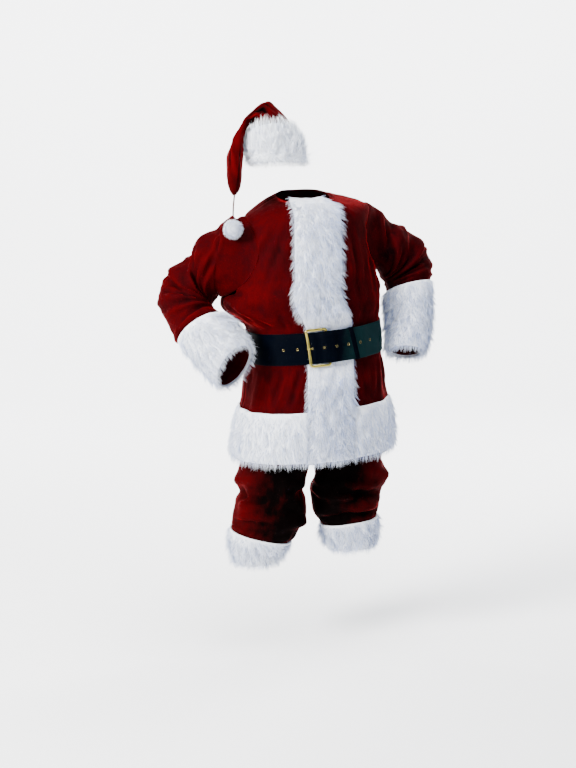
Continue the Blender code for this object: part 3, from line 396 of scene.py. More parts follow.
def leatherFinish(name, sheenFrom):
    # sheenFrom: where a painted blue-green sheen begins, towards the strap's free end and not
    # behind
    f = Finish(name, {"Specular IOR Level": 0.012, "Coat Roughness": 0.25})
    grain = f.node("ShaderNodeTexVoronoi", {"feature": "SMOOTH_F1"},
                   {"Vector": f.place(), "Scale": 420.0})
    cloud = f.noise(12.0, 4.0, 0.6)
    scuff = f.noise(90.0, 5.0, 0.7)
    x, y, z = f.axes()
    # cloud and scuff are random tone and wear; the ramp along x is the painted blue-green sheen,
    # none on the back
    share = ((cloud - 0.5) * leather["cloud"] + (scuff - 0.5) * leather["scuff"]
             + (x - sheenFrom) * 16.0 - ((y - leather["rearFrom"]) * 20.0).clamp() * 3.0)
    return f.done(Base_Color=f.between(leather["dark"], leather["greenSheen"], share.clamp()),
                  Roughness=0.30 + cloud * 0.16 + scuff * 0.10,
                  Coat_Weight=cloud * 0.02,
                  Normal=f.bump(grain * 0.5 + scuff * 0.25, 0.0008, 0.4))


def brassFinish(name, deep, bright):
    f = Finish(name, {"Specular IOR Level": 0.5})
    cloud = f.noise(60.0, 4.0, 0.6)
    hair = f.noise(500.0, 2.0, 0.5, stretch=(1.0, 1.0, 0.1))
    return f.done(Base_Color=f.between(deep, bright, cloud),
                  Metallic=0.94 + cloud * 0.06, Roughness=0.16 + cloud * 0.14,
                  Normal=f.bump(hair * 0.3 + cloud * 0.3, 0.0006, 0.25))


def elasticFinish():
    f = Finish("waistElastic", {"Sheen Weight": 0.2, "Specular IOR Level": 0.2})
    rib = f.node("ShaderNodeTexWave", {"bands_direction": "Z"},
                 {"Vector": f.place(), "Scale": 55.0, "Distortion": 0.6})
    return f.done(Base_Color=f.between((0.05, 0.001, 0.003), (0.15, 0.004, 0.007), rib),
                  Roughness=0.8 + rib * 0.1, Normal=f.bump(rib, 0.001, 0.5))


coatVelvet = velvetFinish("coatVelvet", (0.003, 0.0001, 0.0004), (0.040, 0.0003, 0.0010),
                          0.44, 0.30, (0.46, 0.004, 0.009), foldShade=0.26, farSideShade=0.8)
legVelvet = velvetFinish("legVelvet", (0.0006, 0.0001, 0.0001), (0.034, 0.0003, 0.0009),
                         0.60, 0.24, (0.42, 0.003, 0.008), foldShade=0.22, sideLight=7.0)
hatVelvet = velvetFinish("hatVelvet", (0.001, 0.0001, 0.0002), (0.048, 0.0003, 0.0011),
                         0.38, 0.30, (0.50, 0.005, 0.009), foldShade=0.9)
furPile, furBacking, waistElastic = furFinish(), furBackingFinish(), elasticFinish()
beltLeather = leatherFinish("beltLeather", 0.116)
keeperLeather = leatherFinish("keeperLeather", 0.5)
brass = brassFinish("brass", (0.22, 0.165, 0.030), (0.54, 0.44, 0.115))
dullBrass = brassFinish("dullBrass", (0.070, 0.058, 0.020), (0.210, 0.180, 0.075))
print("finishes made")


camera = {"at": (-0.056, -4.0, 0.12), "tiltDegrees": 80.3, "focalPixels": 1230.0,
          "longSidePixels": 768.0, "sensor": 36.0}


def makeCamera():
    lens = bpy.data.cameras.new("camera")
    lens.sensor_width = camera["sensor"]
    lens.lens = camera["sensor"] * camera["focalPixels"] / camera["longSidePixels"]
    eye = placeInScene("camera", lens)
    eye.location = camera["at"]
    eye.rotation_euler = (math.radians(camera["tiltDegrees"]), 0, 0)
    bpy.context.scene.camera = eye


studio = {"half": 9.0, "flatTo": 4.5, "curve": 2.5, "wallTop": 6.48,
          "paper": ((0.93, 0.93, 0.94), (0.95, 0.95, 0.95)),
          "sky": (0.70, 0.81, 1.0), "skyStrength": 0.30}


def makeStage():
    # a paper sweep: flat floor, round bend, wall
    bend = [(studio["flatTo"] + studio["curve"] * math.sin(t),
             studio["curve"] * (1 - math.cos(t))) for t in np.linspace(0, math.pi / 2, 17)]
    line = [(-studio["half"], 0.0)] + bend + [(bend[-1][0], studio["wallTop"])]
    grid = np.array([[(side * studio["half"], y, z) for side in (-1, 1)] for y, z in line])
    paper = Finish("studioPaper", {"Roughness": 0.9, "Specular IOR Level": 0.1})
    paper.done(Base_Color=paper.between(*studio["paper"], paper.noise(0.6, 2.0)))
    addPiece("studioSweep", grid.reshape(-1, 3),
                      skinFaces(len(grid), 2, 0, False, False), paper.material)


lamps = (
    # name, where, aim, size in metres, watts, colour
    ("keyLamp", (-3.5, -2.7, 1.5), (0.0, 0.0, -0.3), 1.5, 900.0, (1.0, 0.985, 0.955)),
    ("fillLamp", (2.8, -3.4, 0.3), (0.0, 0.0, -0.4), 2.2, 30.0, (0.50, 0.68, 1.0)),
    ("topLamp", (0.2, -0.6, 3.2), (0.0, 0.0, 0.0), 2.2, 170.0, (1.0, 1.0, 1.0)),
    ("rimLamp", (2.6, 2.2, 1.2), (0.0, 0.0, -0.3), 1.6, 120.0, (1.0, 0.99, 0.97)),
    ("paperLampLeft", (-3.2, 2.6, 2.6), (-1.0, 7.0, 0.6), 2.4, 760.0, (1.0, 1.0, 1.0)),
    ("paperLampRight", (3.2, 2.6, 2.6), (1.0, 7.0, 0.6), 2.4, 760.0, (1.0, 1.0, 1.0)),
    ("floorLamp", (0.0, -2.0, 4.2), (0.0, 0.6, -1.48), 3.4, 260.0, (1.0, 1.0, 1.0)),
)


def makeLamps():
    for name, where, aim, size, watts, colour in lamps:
        light = bpy.data.lights.new(name, "AREA")
        light.shape, light.size, light.energy, light.color = "DISK", size, watts, colour
        lamp = placeInScene(name, light)
        lamp.location = where
        way = Vector(aim) - Vector(where)
        lamp.rotation_euler = way.to_track_quat("-Z", "Y").to_euler()
    world = bpy.data.worlds.new("paleRoom")
    world.use_nodes = True
    sky = world.node_tree.nodes["Background"]
    sky.inputs["Color"].default_value = (*studio["sky"], 1)
    sky.inputs["Strength"].default_value = studio["skyStrength"]
    bpy.context.scene.world = world


makeCamera()
makeStage()
makeLamps()
print("camera, floor and light set")


crease = {"columns": ("fromDegrees", "fromRow", "toDegrees", "toRow", "bow", "wide", "rise",
                      "lean"),
          "steps": 13, "reach": 4, "troughAt": 1.7, "troughWide": 1.15}


def nearestOnLine(points, line, steps):
    # how far off on either side, how far off at all, and the share of the line gone
    best = np.full(len(points), 1e9)
    signed, share = np.zeros(len(points)), np.zeros(len(points))
    for k in range(len(line) - 1):
        way = line[k + 1] - line[k]
        t = np.clip((points - line[k]) @ way / (way @ way), 0, 1)
        off = points - line[k] - t[:, None] * way
        away = np.hypot(off[:, 0], off[:, 1])
        closer = away < best
        best = np.where(closer, away, best)
        turn = way[0] * off[:, 1] - way[1] * off[:, 0]
        signed = np.where(closer, away * np.sign(turn), signed)
        share = np.where(closer, steps[k] + t * (steps[k + 1] - steps[k]), share)
    return signed, best, share


def creaseField(degrees, rows, table, radius, rowLength=1.0):
    # soft ridges and troughs as listed: both ends in degrees round and rows, bow as a
    # share of the length, width and rise in millimetres, lean for a trough beside it
    u, v = np.broadcast_arrays(np.radians(degrees) * radius, rows * rowLength)
    total = np.zeros(u.shape)
    steps = np.linspace(0, 1, crease["steps"])
    for entry in table:
        c = dict(zip(crease["columns"], entry))
        start = np.array([math.radians(c["fromDegrees"]) * radius, c["fromRow"] * rowLength])
        end = np.array([math.radians(c["toDegrees"]) * radius, c["toRow"] * rowLength])
        along = end - start
        middle = (start + end) / 2 + np.array([-along[1], along[0]]) * c["bow"]
        wide = c["wide"] / 1000
        line = [(1 - t) ** 2 * start + 2 * t * (1 - t) * middle + t * t * end for t in steps]
        low = np.minimum(np.minimum(start, end), middle) - crease["reach"] * wide
        high = np.maximum(np.maximum(start, end), middle) + crease["reach"] * wide
        for shift in (-allRound * radius, 0, allRound * radius):
            near = ((u + shift > low[0]) & (u + shift < high[0]) & (v > low[1]) & (v < high[1]))
            if not near.any():
                continue
            signed, best, share = nearestOnLine(np.stack([u[near] + shift, v[near]], axis=-1),
                                                line, steps)
            body = np.sin(np.pi * np.clip(share, 0.02, 0.98)) ** 0.7
            ends = np.minimum(share, 1 - share)
            body = body * np.where((ends <= 0) & (best > 0), np.exp(-(best / wide) ** 2), 1)
            shape = hump(signed, 0, wide) - abs(c["lean"]) * hump(
                signed, np.sign(c["lean"]) * crease["troughAt"] * wide,
                crease["troughWide"] * wide)
            total[near] += c["rise"] / 1000 * body * shape
    return total


# sections by height: how far right and left, the middle's y, depths to the front and the
# back, and how the section tips down to one side (roll) and forward (nod)
coat = {
    "height": (0.655, 0.690, 0.740, 0.800, 0.862, 0.900, 0.945, 0.985, 1.018, 1.068,
               1.118, 1.140, 1.165, 1.195, 1.235, 1.290, 1.350, 1.410, 1.450, 1.475,
               1.490, 1.505, 1.518, 1.527, 1.533),
    "right": (-0.240, -0.237, -0.230, -0.221, -0.211, -0.203, -0.197, -0.191, -0.188,
              -0.187, -0.190, -0.198, -0.226, -0.258, -0.272, -0.244, -0.230, -0.220,
              -0.212, -0.202, -0.190, -0.160, -0.130, -0.107, -0.090),
    "left": (0.286, 0.283, 0.279, 0.274, 0.266, 0.257, 0.253, 0.249, 0.245, 0.241,
             0.237, 0.237, 0.237, 0.236, 0.230, 0.218, 0.210, 0.207, 0.206, 0.202,
             0.192, 0.164, 0.130, 0.094, 0.070),
    "middle": (0.008, 0.008, 0.007, 0.006, 0.004, 0.002, 0.001, 0.000, 0.000, 0.000,
               0.000, 0.000, 0.000, 0.000, 0.000, 0.002, 0.004, 0.008, 0.012, 0.015,
               0.018, 0.020, 0.022, 0.023, 0.024),
    "front": (0.212, 0.211, 0.208, 0.205, 0.200, 0.196, 0.192, 0.188, 0.185, 0.184,
              0.186, 0.191, 0.205, 0.209, 0.207, 0.196, 0.180, 0.163, 0.148, 0.136,
              0.124, 0.108, 0.092, 0.080, 0.072),
    "back": (0.205, 0.204, 0.201, 0.198, 0.192, 0.188, 0.182, 0.175, 0.170, 0.168,
             0.171, 0.182, 0.193, 0.198, 0.197, 0.190, 0.180, 0.168, 0.157, 0.147,
             0.136, 0.120, 0.104, 0.092, 0.084),
    "roll": (0.050, 0.050, 0.055, 0.060, 0.065, 0.070, 0.075, 0.080, 0.085, 0.090,
             0.090, 0.100, 0.115, 0.130, 0.150, 0.150, 0.140, 0.130, 0.120, 0.110,
             0.100, 0.085, 0.060, 0.040, 0.030),
    "nod": (0.0, 0.0, 0.0, 0.0, 0.0, 0.0, 0.0, 0.0, 0.0, 0.0, 0.0, 0.0, 0.0, 0.0, 0.0,
            0.0, 0.0, 0.0, 0.0, 0.04, 0.08, 0.13, 0.18, 0.22, 0.24),
    "hem": 0.696, "armpit": 1.250, "shoulder": 1.487, "neck": 1.531,
    "armholeHalf": math.radians(33),
    "rows": 0.0066, "frontColumns": 58, "backColumns": 104, "armholeRows": 44,
}
# degrees round from the front, lowest and highest place, degrees wide, metres tall, lean
coatFoldTable = (
    (-70, 0.70, 0.985, 6.5, 0.0085, 20), (-52, 0.86, 0.985, 6.0, 0.0070, -20),
    (-36, 0.86, 0.985, 5.5, 0.0065, 10), (-92, 0.70, 0.985, 7.0, 0.0080, -10),
    (34, 0.86, 0.985, 6.0, 0.0060, 0), (52, 0.70, 0.985, 7.0, 0.0075, 20),
    (76, 0.70, 0.985, 7.0, 0.0085, 0), (112, 0.70, 0.985, 7.5, 0.0085, 10),
    (136, 0.74, 0.985, 7.0, 0.0075, -10), (160, 0.70, 0.985, 8.0, 0.0080, 10),
    (186, 0.72, 0.985, 7.5, 0.0085, 0), (208, 0.70, 0.985, 7.0, 0.0070, -20),
    (231, 0.72, 0.985, 7.5, 0.0085, 10), (252, 0.70, 0.985, 7.0, 0.0070, 0),
    (-64, 1.145, 1.24, 8.0, 0.0080, 60), (-42, 1.145, 1.22, 7.0, 0.0070, 30),
    (38, 1.145, 1.34, 7.0, 0.0065, -40), (58, 1.145, 1.28, 7.0, 0.0070, 40),
    (84, 1.145, 1.22, 8.0, 0.0065, 0), (118, 1.145, 1.26, 8.0, 0.0080, -60),
    (146, 1.145, 1.34, 8.0, 0.0070, -30), (172, 1.145, 1.28, 8.0, 0.0080, 20),
    (200, 1.145, 1.34, 8.0, 0.0070, 0), (228, 1.145, 1.27, 8.0, 0.0080, 40),
    (256, 1.145, 1.22, 8.0, 0.0070, 30),
)


def coatSizes(height):
    h = np.asarray(height, float)
    return {k: alongRows(coat["height"], coat[k], h.ravel()).reshape(h.shape)
            for k in ("right", "left", "middle", "front", "back", "roll", "nod")}


def coatFolds(angle, height):
    # the large folds, which fade at both ends
    degrees = np.degrees(angle)
    total = np.zeros(degrees.shape)
    for at, low, high, wide, tall, lean in coatFoldTable:
        away = halfRound(degrees - (at + lean * (height - (low + high) / 2)))
        fade = 1 / (1 + np.exp(-(height - low) / 0.012)) / (1 + np.exp((height - high) / 0.012))
        total += tall * fade * (hump(away, 0, wide) - 0.35 * hump(away, 0, wide * 2.2))
    return total


def coatPoints(angle, height):
    angle, height = np.broadcast_arrays(np.asarray(angle, float), np.asarray(height, float))
    r = coatSizes(height)
    half, centre = (r["left"] - r["right"]) / 2, (r["left"] + r["right"]) / 2
    depth = (r["front"] + r["back"]) / 2
    wide = np.sqrt(half**2 - (depth * math.sin(chestTurn)) ** 2) / math.cos(chestTurn)
    s, c = np.sin(angle), np.cos(angle)
    deep = np.where(c > 0, r["front"], r["back"])
    radius = boxyRadius(s, c, wide, deep) + coatFolds(angle, height)
    x, y = radius * s, -radius * c
    return turnedWithChest((centre, r["middle"]), x, y,
                           height + r["roll"] * x + r["nod"] * y)


def armholeAngle(height):
    # half the armhole's width, seen from the body's middle
    t = (np.asarray(height, float) - coat["armpit"]) / (coat["shoulder"] - coat["armpit"])
    t = np.clip(t, 0, 1)
    return coat["armholeHalf"] * (4 * t * (1 - t)) ** 0.68


def coatHeights():
    # rows below, beside and above the armhole, and the last and first row at its ends
    armpit, shoulder = coat["armpit"], coat["shoulder"]
    low = np.linspace(coat["hem"], armpit, int((armpit - coat["hem"]) / coat["rows"]) + 1)
    n = coat["armholeRows"]
    hole = [armpit + (shoulder - armpit) * (1 - math.cos(math.pi * k / (n + 1))) / 2
            for k in range(1, n + 2)]
    high = np.linspace(shoulder, coat["neck"], 9)[1:]
    return np.concatenate([low, hole, high]), len(low) - 1, len(low) + n


heights, firstArm, lastArm = coatHeights()
seamHalf = 0.0003


def coatPanel(side):
    # side 1 and -1 are the fronts, 0 is the back
    at = heights[:, None]
    sizes = coatSizes(at)
    if side:
        far = math.pi / 2 - armholeAngle(at) - seamHalf / sizes["front"]
        share = np.linspace(0, 1, coat["frontColumns"] + 1)[None, :]
        angle = side * (seamHalf / sizes["front"] + (far - seamHalf / sizes["front"]) * share)
        return angle if side > 0 else angle[:, ::-1]
    near = math.pi / 2 + armholeAngle(at) + seamHalf / sizes["back"]
    share = np.linspace(0, 1, coat["backColumns"] + 1)[None, :]
    return near + (allRound - 2 * near) * share


# creases: degrees round from the front and height, at both ends
coatCreases = (
    (-98, 1.264, -58, 1.256, 0.08, 9, -5.5, 0.5), (-97, 1.302, -62, 1.322, 0.05, 13, 5.0, 0.4),
    (-88, 1.240, -54, 1.148, 0.08, 13, -4.0, 0.5), (-74, 1.232, -36, 1.150, -0.04, 14, 3.0, 0.4),
    (-50, 1.460, -72, 1.330, 0.08, 14, 4.0, 0.5), (-36, 1.440, -50, 1.270, 0.05, 14, -2.5, 0.4),
    (-34, 1.200, -40, 1.132, 0.03, 8, -3.0, 0.5), (-60, 1.180, -56, 1.130, 0.03, 8, 3.5, 0.5),
    (27, 1.470, 31, 1.150, 0.03, 12, 3.0, 0.5), (39, 1.440, 38, 1.140, -0.03, 10, -3.5, 0.5),
    (51, 1.340, 48, 1.135, 0.03, 11, 3.5, 0.5), (60, 1.430, 64, 1.290, 0.05, 9, -5.5, 0.5),
    (66, 1.250, 60, 1.140, 0.04, 11, -3.5, 0.5), (84, 1.240, 66, 1.200, 0.06, 10, 4.0, 0.5),
    (38, 1.492, 44, 1.450, 0.05, 7, -3.0, 0.5), (78, 1.225, 74, 1.140, 0.04, 10, 3.0, 0.5),
    (-45, 0.990, -53, 0.880, 0.04, 9, -4.5, 0.5), (-31, 0.985, -37, 0.880, 0.04, 9, -4.0, 0.5),
    (-62, 1.000, -66, 0.900, 0.04, 9, 3.5, 0.5), (30, 0.985, 36, 0.885, 0.04, 9, -4.0, 0.5),
    (46, 0.990, 44, 0.885, 0.04, 9, 4.0, 0.5), (62, 1.000, 66, 0.885, 0.04, 9, -4.0, 0.5),
    (104, 1.235, 136, 1.150, 0.06, 12, -4.0, 0.5), (96, 1.268, 128, 1.262, 0.06, 12, 5.0, 0.5),
    (112, 1.330, 150, 1.300, 0.05, 14, -4.0, 0.5), (120, 1.420, 140, 1.250, 0.08, 14, 4.0, 0.5),
    (160, 1.440, 166, 1.180, 0.04, 14, 3.5, 0.5), (182, 1.420, 180, 1.160, 0.02, 12, -3.5, 0.5),
    (204, 1.440, 196, 1.180, 0.04, 14, 3.5, 0.5), (262, 1.262, 228, 1.256, -0.06, 12, 5.0, 0.5),
    (256, 1.240, 222, 1.150, -0.06, 12, -4.0, 0.5), (246, 1.330, 212, 1.300, 0.05, 14, -4.0, 0.5),
    (238, 1.420, 222, 1.260, -0.08, 14, 4.0, 0.5), (120, 1.000, 118, 0.880, 0.04, 10, -4.0, 0.5),
    (150, 1.000, 147, 0.880, 0.04, 10, -4.0, 0.5), (176, 1.000, 172, 0.880, 0.04, 10, -4.0, 0.5),
    (198, 1.000, 200, 0.880, 0.04, 10, -4.0, 0.5), (222, 1.000, 224, 0.880, 0.04, 10, -4.0, 0.5),
    (244, 1.000, 243, 0.880, 0.04, 10, -4.0, 0.5), (90, 1.000, 94, 0.890, 0.04, 10, -4.0, 0.5),
)
coatCloth = {
    "radius": 0.205, "crease": 1.5, "gather": 0.0022, "gathers": ((1.128, 0.050), (1.004, -0.050)),
    "underBelt": (beltHalf, 0.068), "underHemFur": (0.862, 0.905),
    "underStrip": (stripHalf * 0.98, stripHalf + 0.035),
}


def coatRelief(angle):
    # metres that the cloth stands out from its plain form
    height = np.broadcast_to(heights[:, None], angle.shape)
    degrees = halfRound(np.degrees(angle))
    relief = coatCloth["crease"] * creaseField(degrees, height, coatCreases,
                                               coatCloth["radius"])
    for at, reach in coatCloth["gathers"]:    # above and below the belt
        gather = np.sin(degrees * 0.62 + 2.1 * np.sin(degrees * 0.13 + at * 9))
        gather = gather * (0.6 + 0.4 * np.sin(degrees * 0.21 + 1.3))
        share = np.clip((height - at) / reach, 0, 1)
        relief += coatCloth["gather"] * gather * np.sin(np.pi * share) ** 0.8 * (share > 0)
    points = coatPoints(angle, height)
    relief += 0.0011 * rippleAt(points, 0.14, 5) + 0.0005 * rippleAt(points, 0.055, 6)
    flat = (ease(abs(height - beltMiddle), *coatCloth["underBelt"])
            * ease(height, *coatCloth["underHemFur"])
            * ease(abs(np.radians(degrees) * coatCloth["radius"]), *coatCloth["underStrip"]))
    return relief * (0.05 + 0.95 * flat)


def seamDip(grid, which, deep=0.0016, wide=0.009):
    # a soft trough along the first or the last column
    edge = grid[:, :1] if which == "first" else grid[:, -1:]
    away = np.linalg.norm(grid - edge, axis=-1)
    return -deep * np.exp(-(away / wide) ** 2)


def coatPanelGrid(side):
    angle = coatPanel(side)
    grid = coatPoints(angle, heights[:, None])
    return angle, grid, gridNormals(grid, False, grid - grid.mean(axis=1, keepdims=True))


panels = {name: coatPanelGrid(side) for name, side in (("right", -1), ("left", 1), ("back", 0))}
# the two sides of a seam share their normals
closed = np.r_[0:firstArm + 1, lastArm:len(heights)]
for a, i, b, j in (("left", -1, "back", 0), ("right", 0, "back", -1)):
    shared = unit(panels[a][2][:, i] + panels[b][2][:, j])
    panels[a][2][closed, i] = panels[b][2][closed, j] = shared[closed]
shared = unit(panels["left"][2][:, 0] + panels["right"][2][:, -1])
panels["left"][2][:, 0] = panels["right"][2][:, -1] = shared


def finishPanel(name):
    angle, grid, out = panels[name]
    relief = coatRelief(angle)
    sides = {"right": ("first",), "left": ("last",), "back": ("first", "last")}[name]
    for side in sides:
        # the side seam dips, the armhole only a little
        hole = (heights > coat["armpit"] - 0.01) & (heights < coat["shoulder"])
        relief = relief + seamDip(grid, side) * np.where(hole, 0.2, 1.0)[:, None]
    return grid + out * relief[..., None], relief


def addCloth(name, node, grid, out, relief, around, finish, flat, share):
    # grid: the outer side of the velvet; flat: its cut in metres; share: how much is cloth
    points, faces = wallOf(grid, grid - out * clothThick, around)
    piece = readFor(addPiece(name, points, faces, finish), "velvet", node)
    # 1 on a ridge and -1 in a valley, for the outer and the inner points; the velvet paints shade
    # in the valleys and light on the ridges from it
    fold = np.clip(relief / velvet["foldDepth"], -1, 1).ravel()
    writeLayer(piece.data, "fold", np.concatenate([fold, fold]))
    cut = flat[0] * flat[1] * share
    print(name, "cloth", round(areaOf(piece) / 2, 3), "cut", round(cut, 3))


coatCut = {
    # piece: panel, CAD node, flat size in metres, share of that rectangle that is cloth
    "coatFrontRight": ("right", "coat_front_right", (0.36, 0.88), 0.86),
    "coatFrontLeft": ("left", "coat_front_left", (0.36, 0.88), 0.86),
    "coatBack": ("back", "coat_back", (0.68, 0.88), 0.90),
}
for name, (panel, node, flat, share) in coatCut.items():
    grid, relief = finishPanel(panel)
    addCloth(name, node, grid, panels[panel][2], relief, False, coatVelvet, flat, share)


strand = {"sides": 3, "steps": 2, "thin": 0.0228, "bend": 0.30, "sizes": (0.80, 1.10),
          "lockShort": 0.74, "lockVaries": 0.40}
furInputs = {"backing": "Geometry", "density": "Float", "length": "Float", "rise": "Float",
             "tuftPull": "Float", "tuftSize": "Float", "stray": "Float", "seed": "Int",
             "finish": "Material"}


def growFurTree():
    # strands scattered on a backing, leaning together in locks
    board = Board(bpy.data.node_groups.new("furOnBacking", "GeometryNodeTree"))
    node, vector, tree = board.node, board.vector, board.tree
    keys = {name: tree.interface.new_socket(name=name, in_out="INPUT",
                                            socket_type="NodeSocket" + kind).identifier
            for name, kind in furInputs.items()}
    tree.interface.new_socket(name="fur", in_out="OUTPUT", socket_type="NodeSocketGeometry")
    outputs = tree.nodes.new("NodeGroupInput").outputs
    given = {name: Wire(board, outputs[name]) for name in furInputs}
    comb, pile, fullness = (node("GeometryNodeInputNamedAttribute", {"data_type": kind},
                                 {"Name": name}, "Attribute")
                            for name, kind in (("comb", "FLOAT_VECTOR"), ("pile", "FLOAT"),
                                               ("fullness", "FLOAT")))
    scatter = node("GeometryNodeDistributePointsOnFaces", {"distribute_method": "RANDOM"},
                   {"Mesh": given["backing"], "Seed": given["seed"],
                    "Density": given["density"] * fullness})
    place = node("GeometryNodeInputPosition")
    lock = node("ShaderNodeTexVoronoi", None,
                {"Vector": place, "Scale": 1.0 / given["tuftSize"]}, "Position")
    pull = vector("SCALE", vector("SUBTRACT", lock, place),
                  given["tuftPull"] / given["tuftSize"])
    wander = node("FunctionNodeRandomValue", {"data_type": "FLOAT_VECTOR"},
                  {"Min": (-1, -1, -1), "Max": (1, 1, 1), "Seed": given["seed"]})
    heading = vector("ADD", vector("SCALE", scatter.beside("Normal"), given["rise"]), comb)
    heading = vector("ADD", heading,
                     vector("ADD", pull, vector("SCALE", wander, given["stray"])))
    turn = node("FunctionNodeAlignRotationToVector", {"axis": "Z"}, {"Vector": heading})
    turn = node("FunctionNodeAlignRotationToVector", {"axis": "Y", "pivot_axis": "Z"},
                {"Rotation": turn, "Vector": comb})
    cone = node("GeometryNodeMeshCone", {"fill_type": "NGON"},
                {"Vertices": strand["sides"], "Side Segments": strand["steps"],
                 "Radius Top": 0.0, "Radius Bottom": strand["thin"], "Depth": 1.0})
    along = node("ShaderNodeSeparateXYZ", None, {0: node("GeometryNodeInputPosition")}, "Z")
    bent = node("ShaderNodeCombineXYZ", None, {"Y": along * along * strand["bend"]})
    cone = node("GeometryNodeSetPosition", None, {"Geometry": cone, "Offset": bent})
    cone = node("GeometryNodeStoreNamedAttribute", {"data_type": "FLOAT", "domain": "POINT"},
                {0: cone, "Name": "tip", "Value": along})
    # whole locks are long or short, and dark or pale; their strands are nearly alike
    lockShade = node("ShaderNodeSeparateXYZ", None, {0: lock.beside("Color")})
    size = node("FunctionNodeRandomValue", {"data_type": "FLOAT"},
                {2: strand["sizes"][0], 3: strand["sizes"][1], "Seed": given["seed"]}, 1)
    size = (size * (lockShade.beside("Y") * strand["lockVaries"] + strand["lockShort"])
            * pile * given["length"])
    made = node("GeometryNodeInstanceOnPoints", None,
                {"Points": scatter, "Instance": cone, "Rotation": turn, "Scale": size})
    shade = node("FunctionNodeRandomValue", {"data_type": "FLOAT"}, {"Seed": 17}, 1)
    made = node("GeometryNodeStoreNamedAttribute",
                {"data_type": "FLOAT", "domain": "INSTANCE"},
                {0: made, "Name": "shade", "Value": (lockShade + shade) * 0.5})
    made = node("GeometryNodeRealizeInstances", None, {0: made})
    made = node("GeometryNodeSetShadeSmooth", None, {0: made, "Shade Smooth": True})
    made = node("GeometryNodeSetMaterial", None, {0: made, "Material": given["finish"]})
    board.feed(tree.nodes.new("NodeGroupOutput").inputs[0], made)
    return tree, keys


furTree, furKeys = growFurTree()
fur = {"density": 68000.0, "length": 0.026, "rise": 0.55, "tuftPull": 0.45, "tuftSize": 0.015,
       "stray": 0.22, "finish": furPile, "backingShare": 0.55, "lumps": 0.16,
       "innerPile": 0.75}


def growFur(name, backing, comb, pile, fullness, **changes):
    # comb, pile, fullness: which way the strands lie, how long and how close, at each point
    wanted = {**fur, **changes, "seed": len(name) * 7 + 3}
    host = placeInScene(name + "Host", backing.data.copy())
    layers = {"comb": comb, "pile": pile, "fullness": fullness}
    for layer, values in layers.items():
        writeLayer(host.data, layer, values)
    grow = host.modifiers.new("fur", "NODES")
    grow.node_group = furTree
    for key, value in wanted.items():
        if key in furKeys:
            grow[furKeys[key]] = value
    mesh = evaluatedMesh(host)
    bpy.data.objects.remove(host)
    for layer in layers:
        if layer in mesh.attributes:
            mesh.attributes.remove(mesh.attributes[layer])
    mesh.name = name
    print(name, "strands", len(mesh.polygons) // (strand["sides"] * strand["steps"] + 1))
    return readFor(placeInScene(name, mesh), "white_fur")


def furBand(name, node, base, out, height, comb, around, flat, pile=None, turned=0.0,
            upperEdge=1.0, **changes):
    # base: cloth points; height: how far the fur stands; comb: which way it is brushed;
    # turned: how full the fur is on the back, a value for each row; upperEdge: on the last row
    rows, columns = base.shape[:2]
    height = np.broadcast_to(height, (rows, columns))
    lumps = 1 + fur["lumps"] * rippleAt(base, 0.035, 11)
    outer = base + out * (furGap + height * fur["backingShare"] * lumps)[..., None]
    points, faces = wallOf(outer, base + out * furGap, around)
    backing = addPiece(name + "Backing", points, faces, furBacking)
    comb = np.broadcast_to(comb, base.shape).reshape(-1, 3)
    if pile is None:
        pile = np.maximum(height / 0.019, 0.72)
    pile = np.broadcast_to(pile, (rows, columns)).ravel()
    full = np.ones((rows, columns))
    full[-1] = upperEdge
    turned = np.broadcast_to(turned, (columns, rows)).T
    strands = growFur(name + "Pile", backing, np.concatenate([comb, comb]),
                      np.concatenate([pile, np.full(len(pile), fur["innerPile"])]),
                      np.concatenate([full.ravel(), turned.ravel()]), **changes)
    readFor(backing, "white_fur", node)
    print(name, "backing", round(areaOf(backing) / 2, 4), "cut", round(flat[0] * flat[1], 4))


def flatComb(way, out, share):
    # the way along the surface, times share
    way = np.broadcast_to(way, out.shape)
    return unit(way - out * np.sum(way * out, axis=-1, keepdims=True)) * share


stripFur = {"knots": (0.682, 0.696, 0.750, 0.900, 0.950, 0.990, 1.018, 1.118, 1.140, 1.172,
                      1.215, 1.506, 1.531, 1.540),
            "rise": (0.007, 0.013, 0.018, 0.018, 0.016, 0.010, 0.0045, 0.0045, 0.008,
                     0.015, 0.018, 0.016, 0.010, 0.006),
            "low": 0.700, "pastNeck": 0.006, "rows": 116, "columns": 27,
            "flat": (0.156, 0.87)}


def makeStripFur():
    at = np.linspace(stripFur["low"], coat["neck"] + stripFur["pastNeck"],
                     stripFur["rows"])[:, None]
    across = np.linspace(-1, 1, stripFur["columns"])[None, :]
    half = np.arctan2(stripHalf, coatSizes(at)["front"])
    base = coatPoints(half * across, at)
    out = gridNormals(base, False, np.array([0, -1.0, 0]))
    rise = np.interp(at, stripFur["knots"], stripFur["rise"])
    height = rise * (1 - 0.62 * abs(across) ** 5)
    # brushed down, and outwards at the edges
    outward = np.sign(across) * ease(abs(across), 0.45, 1.0)
    comb = (flatComb(down, out, 1.0)
            + unit(np.gradient(base, axis=1)) * outward[..., None] * 0.75)
    furBand("stripFur", "placket_fur", base, out, height, comb, False, stripFur["flat"],
            pile=np.maximum(rise / 0.018, 0.55), length=0.031, tuftPull=0.6, tuftSize=0.019,
            turned=1 - ease(np.arange(len(at)), 1.0, 3.0))


hemFur = {"knots": (0.702, 0.713, 0.755, 0.808, 0.850, 0.864),
          "rise": (0.008, 0.016, 0.020, 0.019, 0.013, 0.006),
          "pileKnots": (0.702, 0.715, 0.735, 0.80, 0.864), "pile": (1.05, 0.95, 1.0, 1.0, 0.7),
          "low": 0.702, "high": 0.864, "rows": 26, "columns": 165, "flat": (1.42, 0.168)}


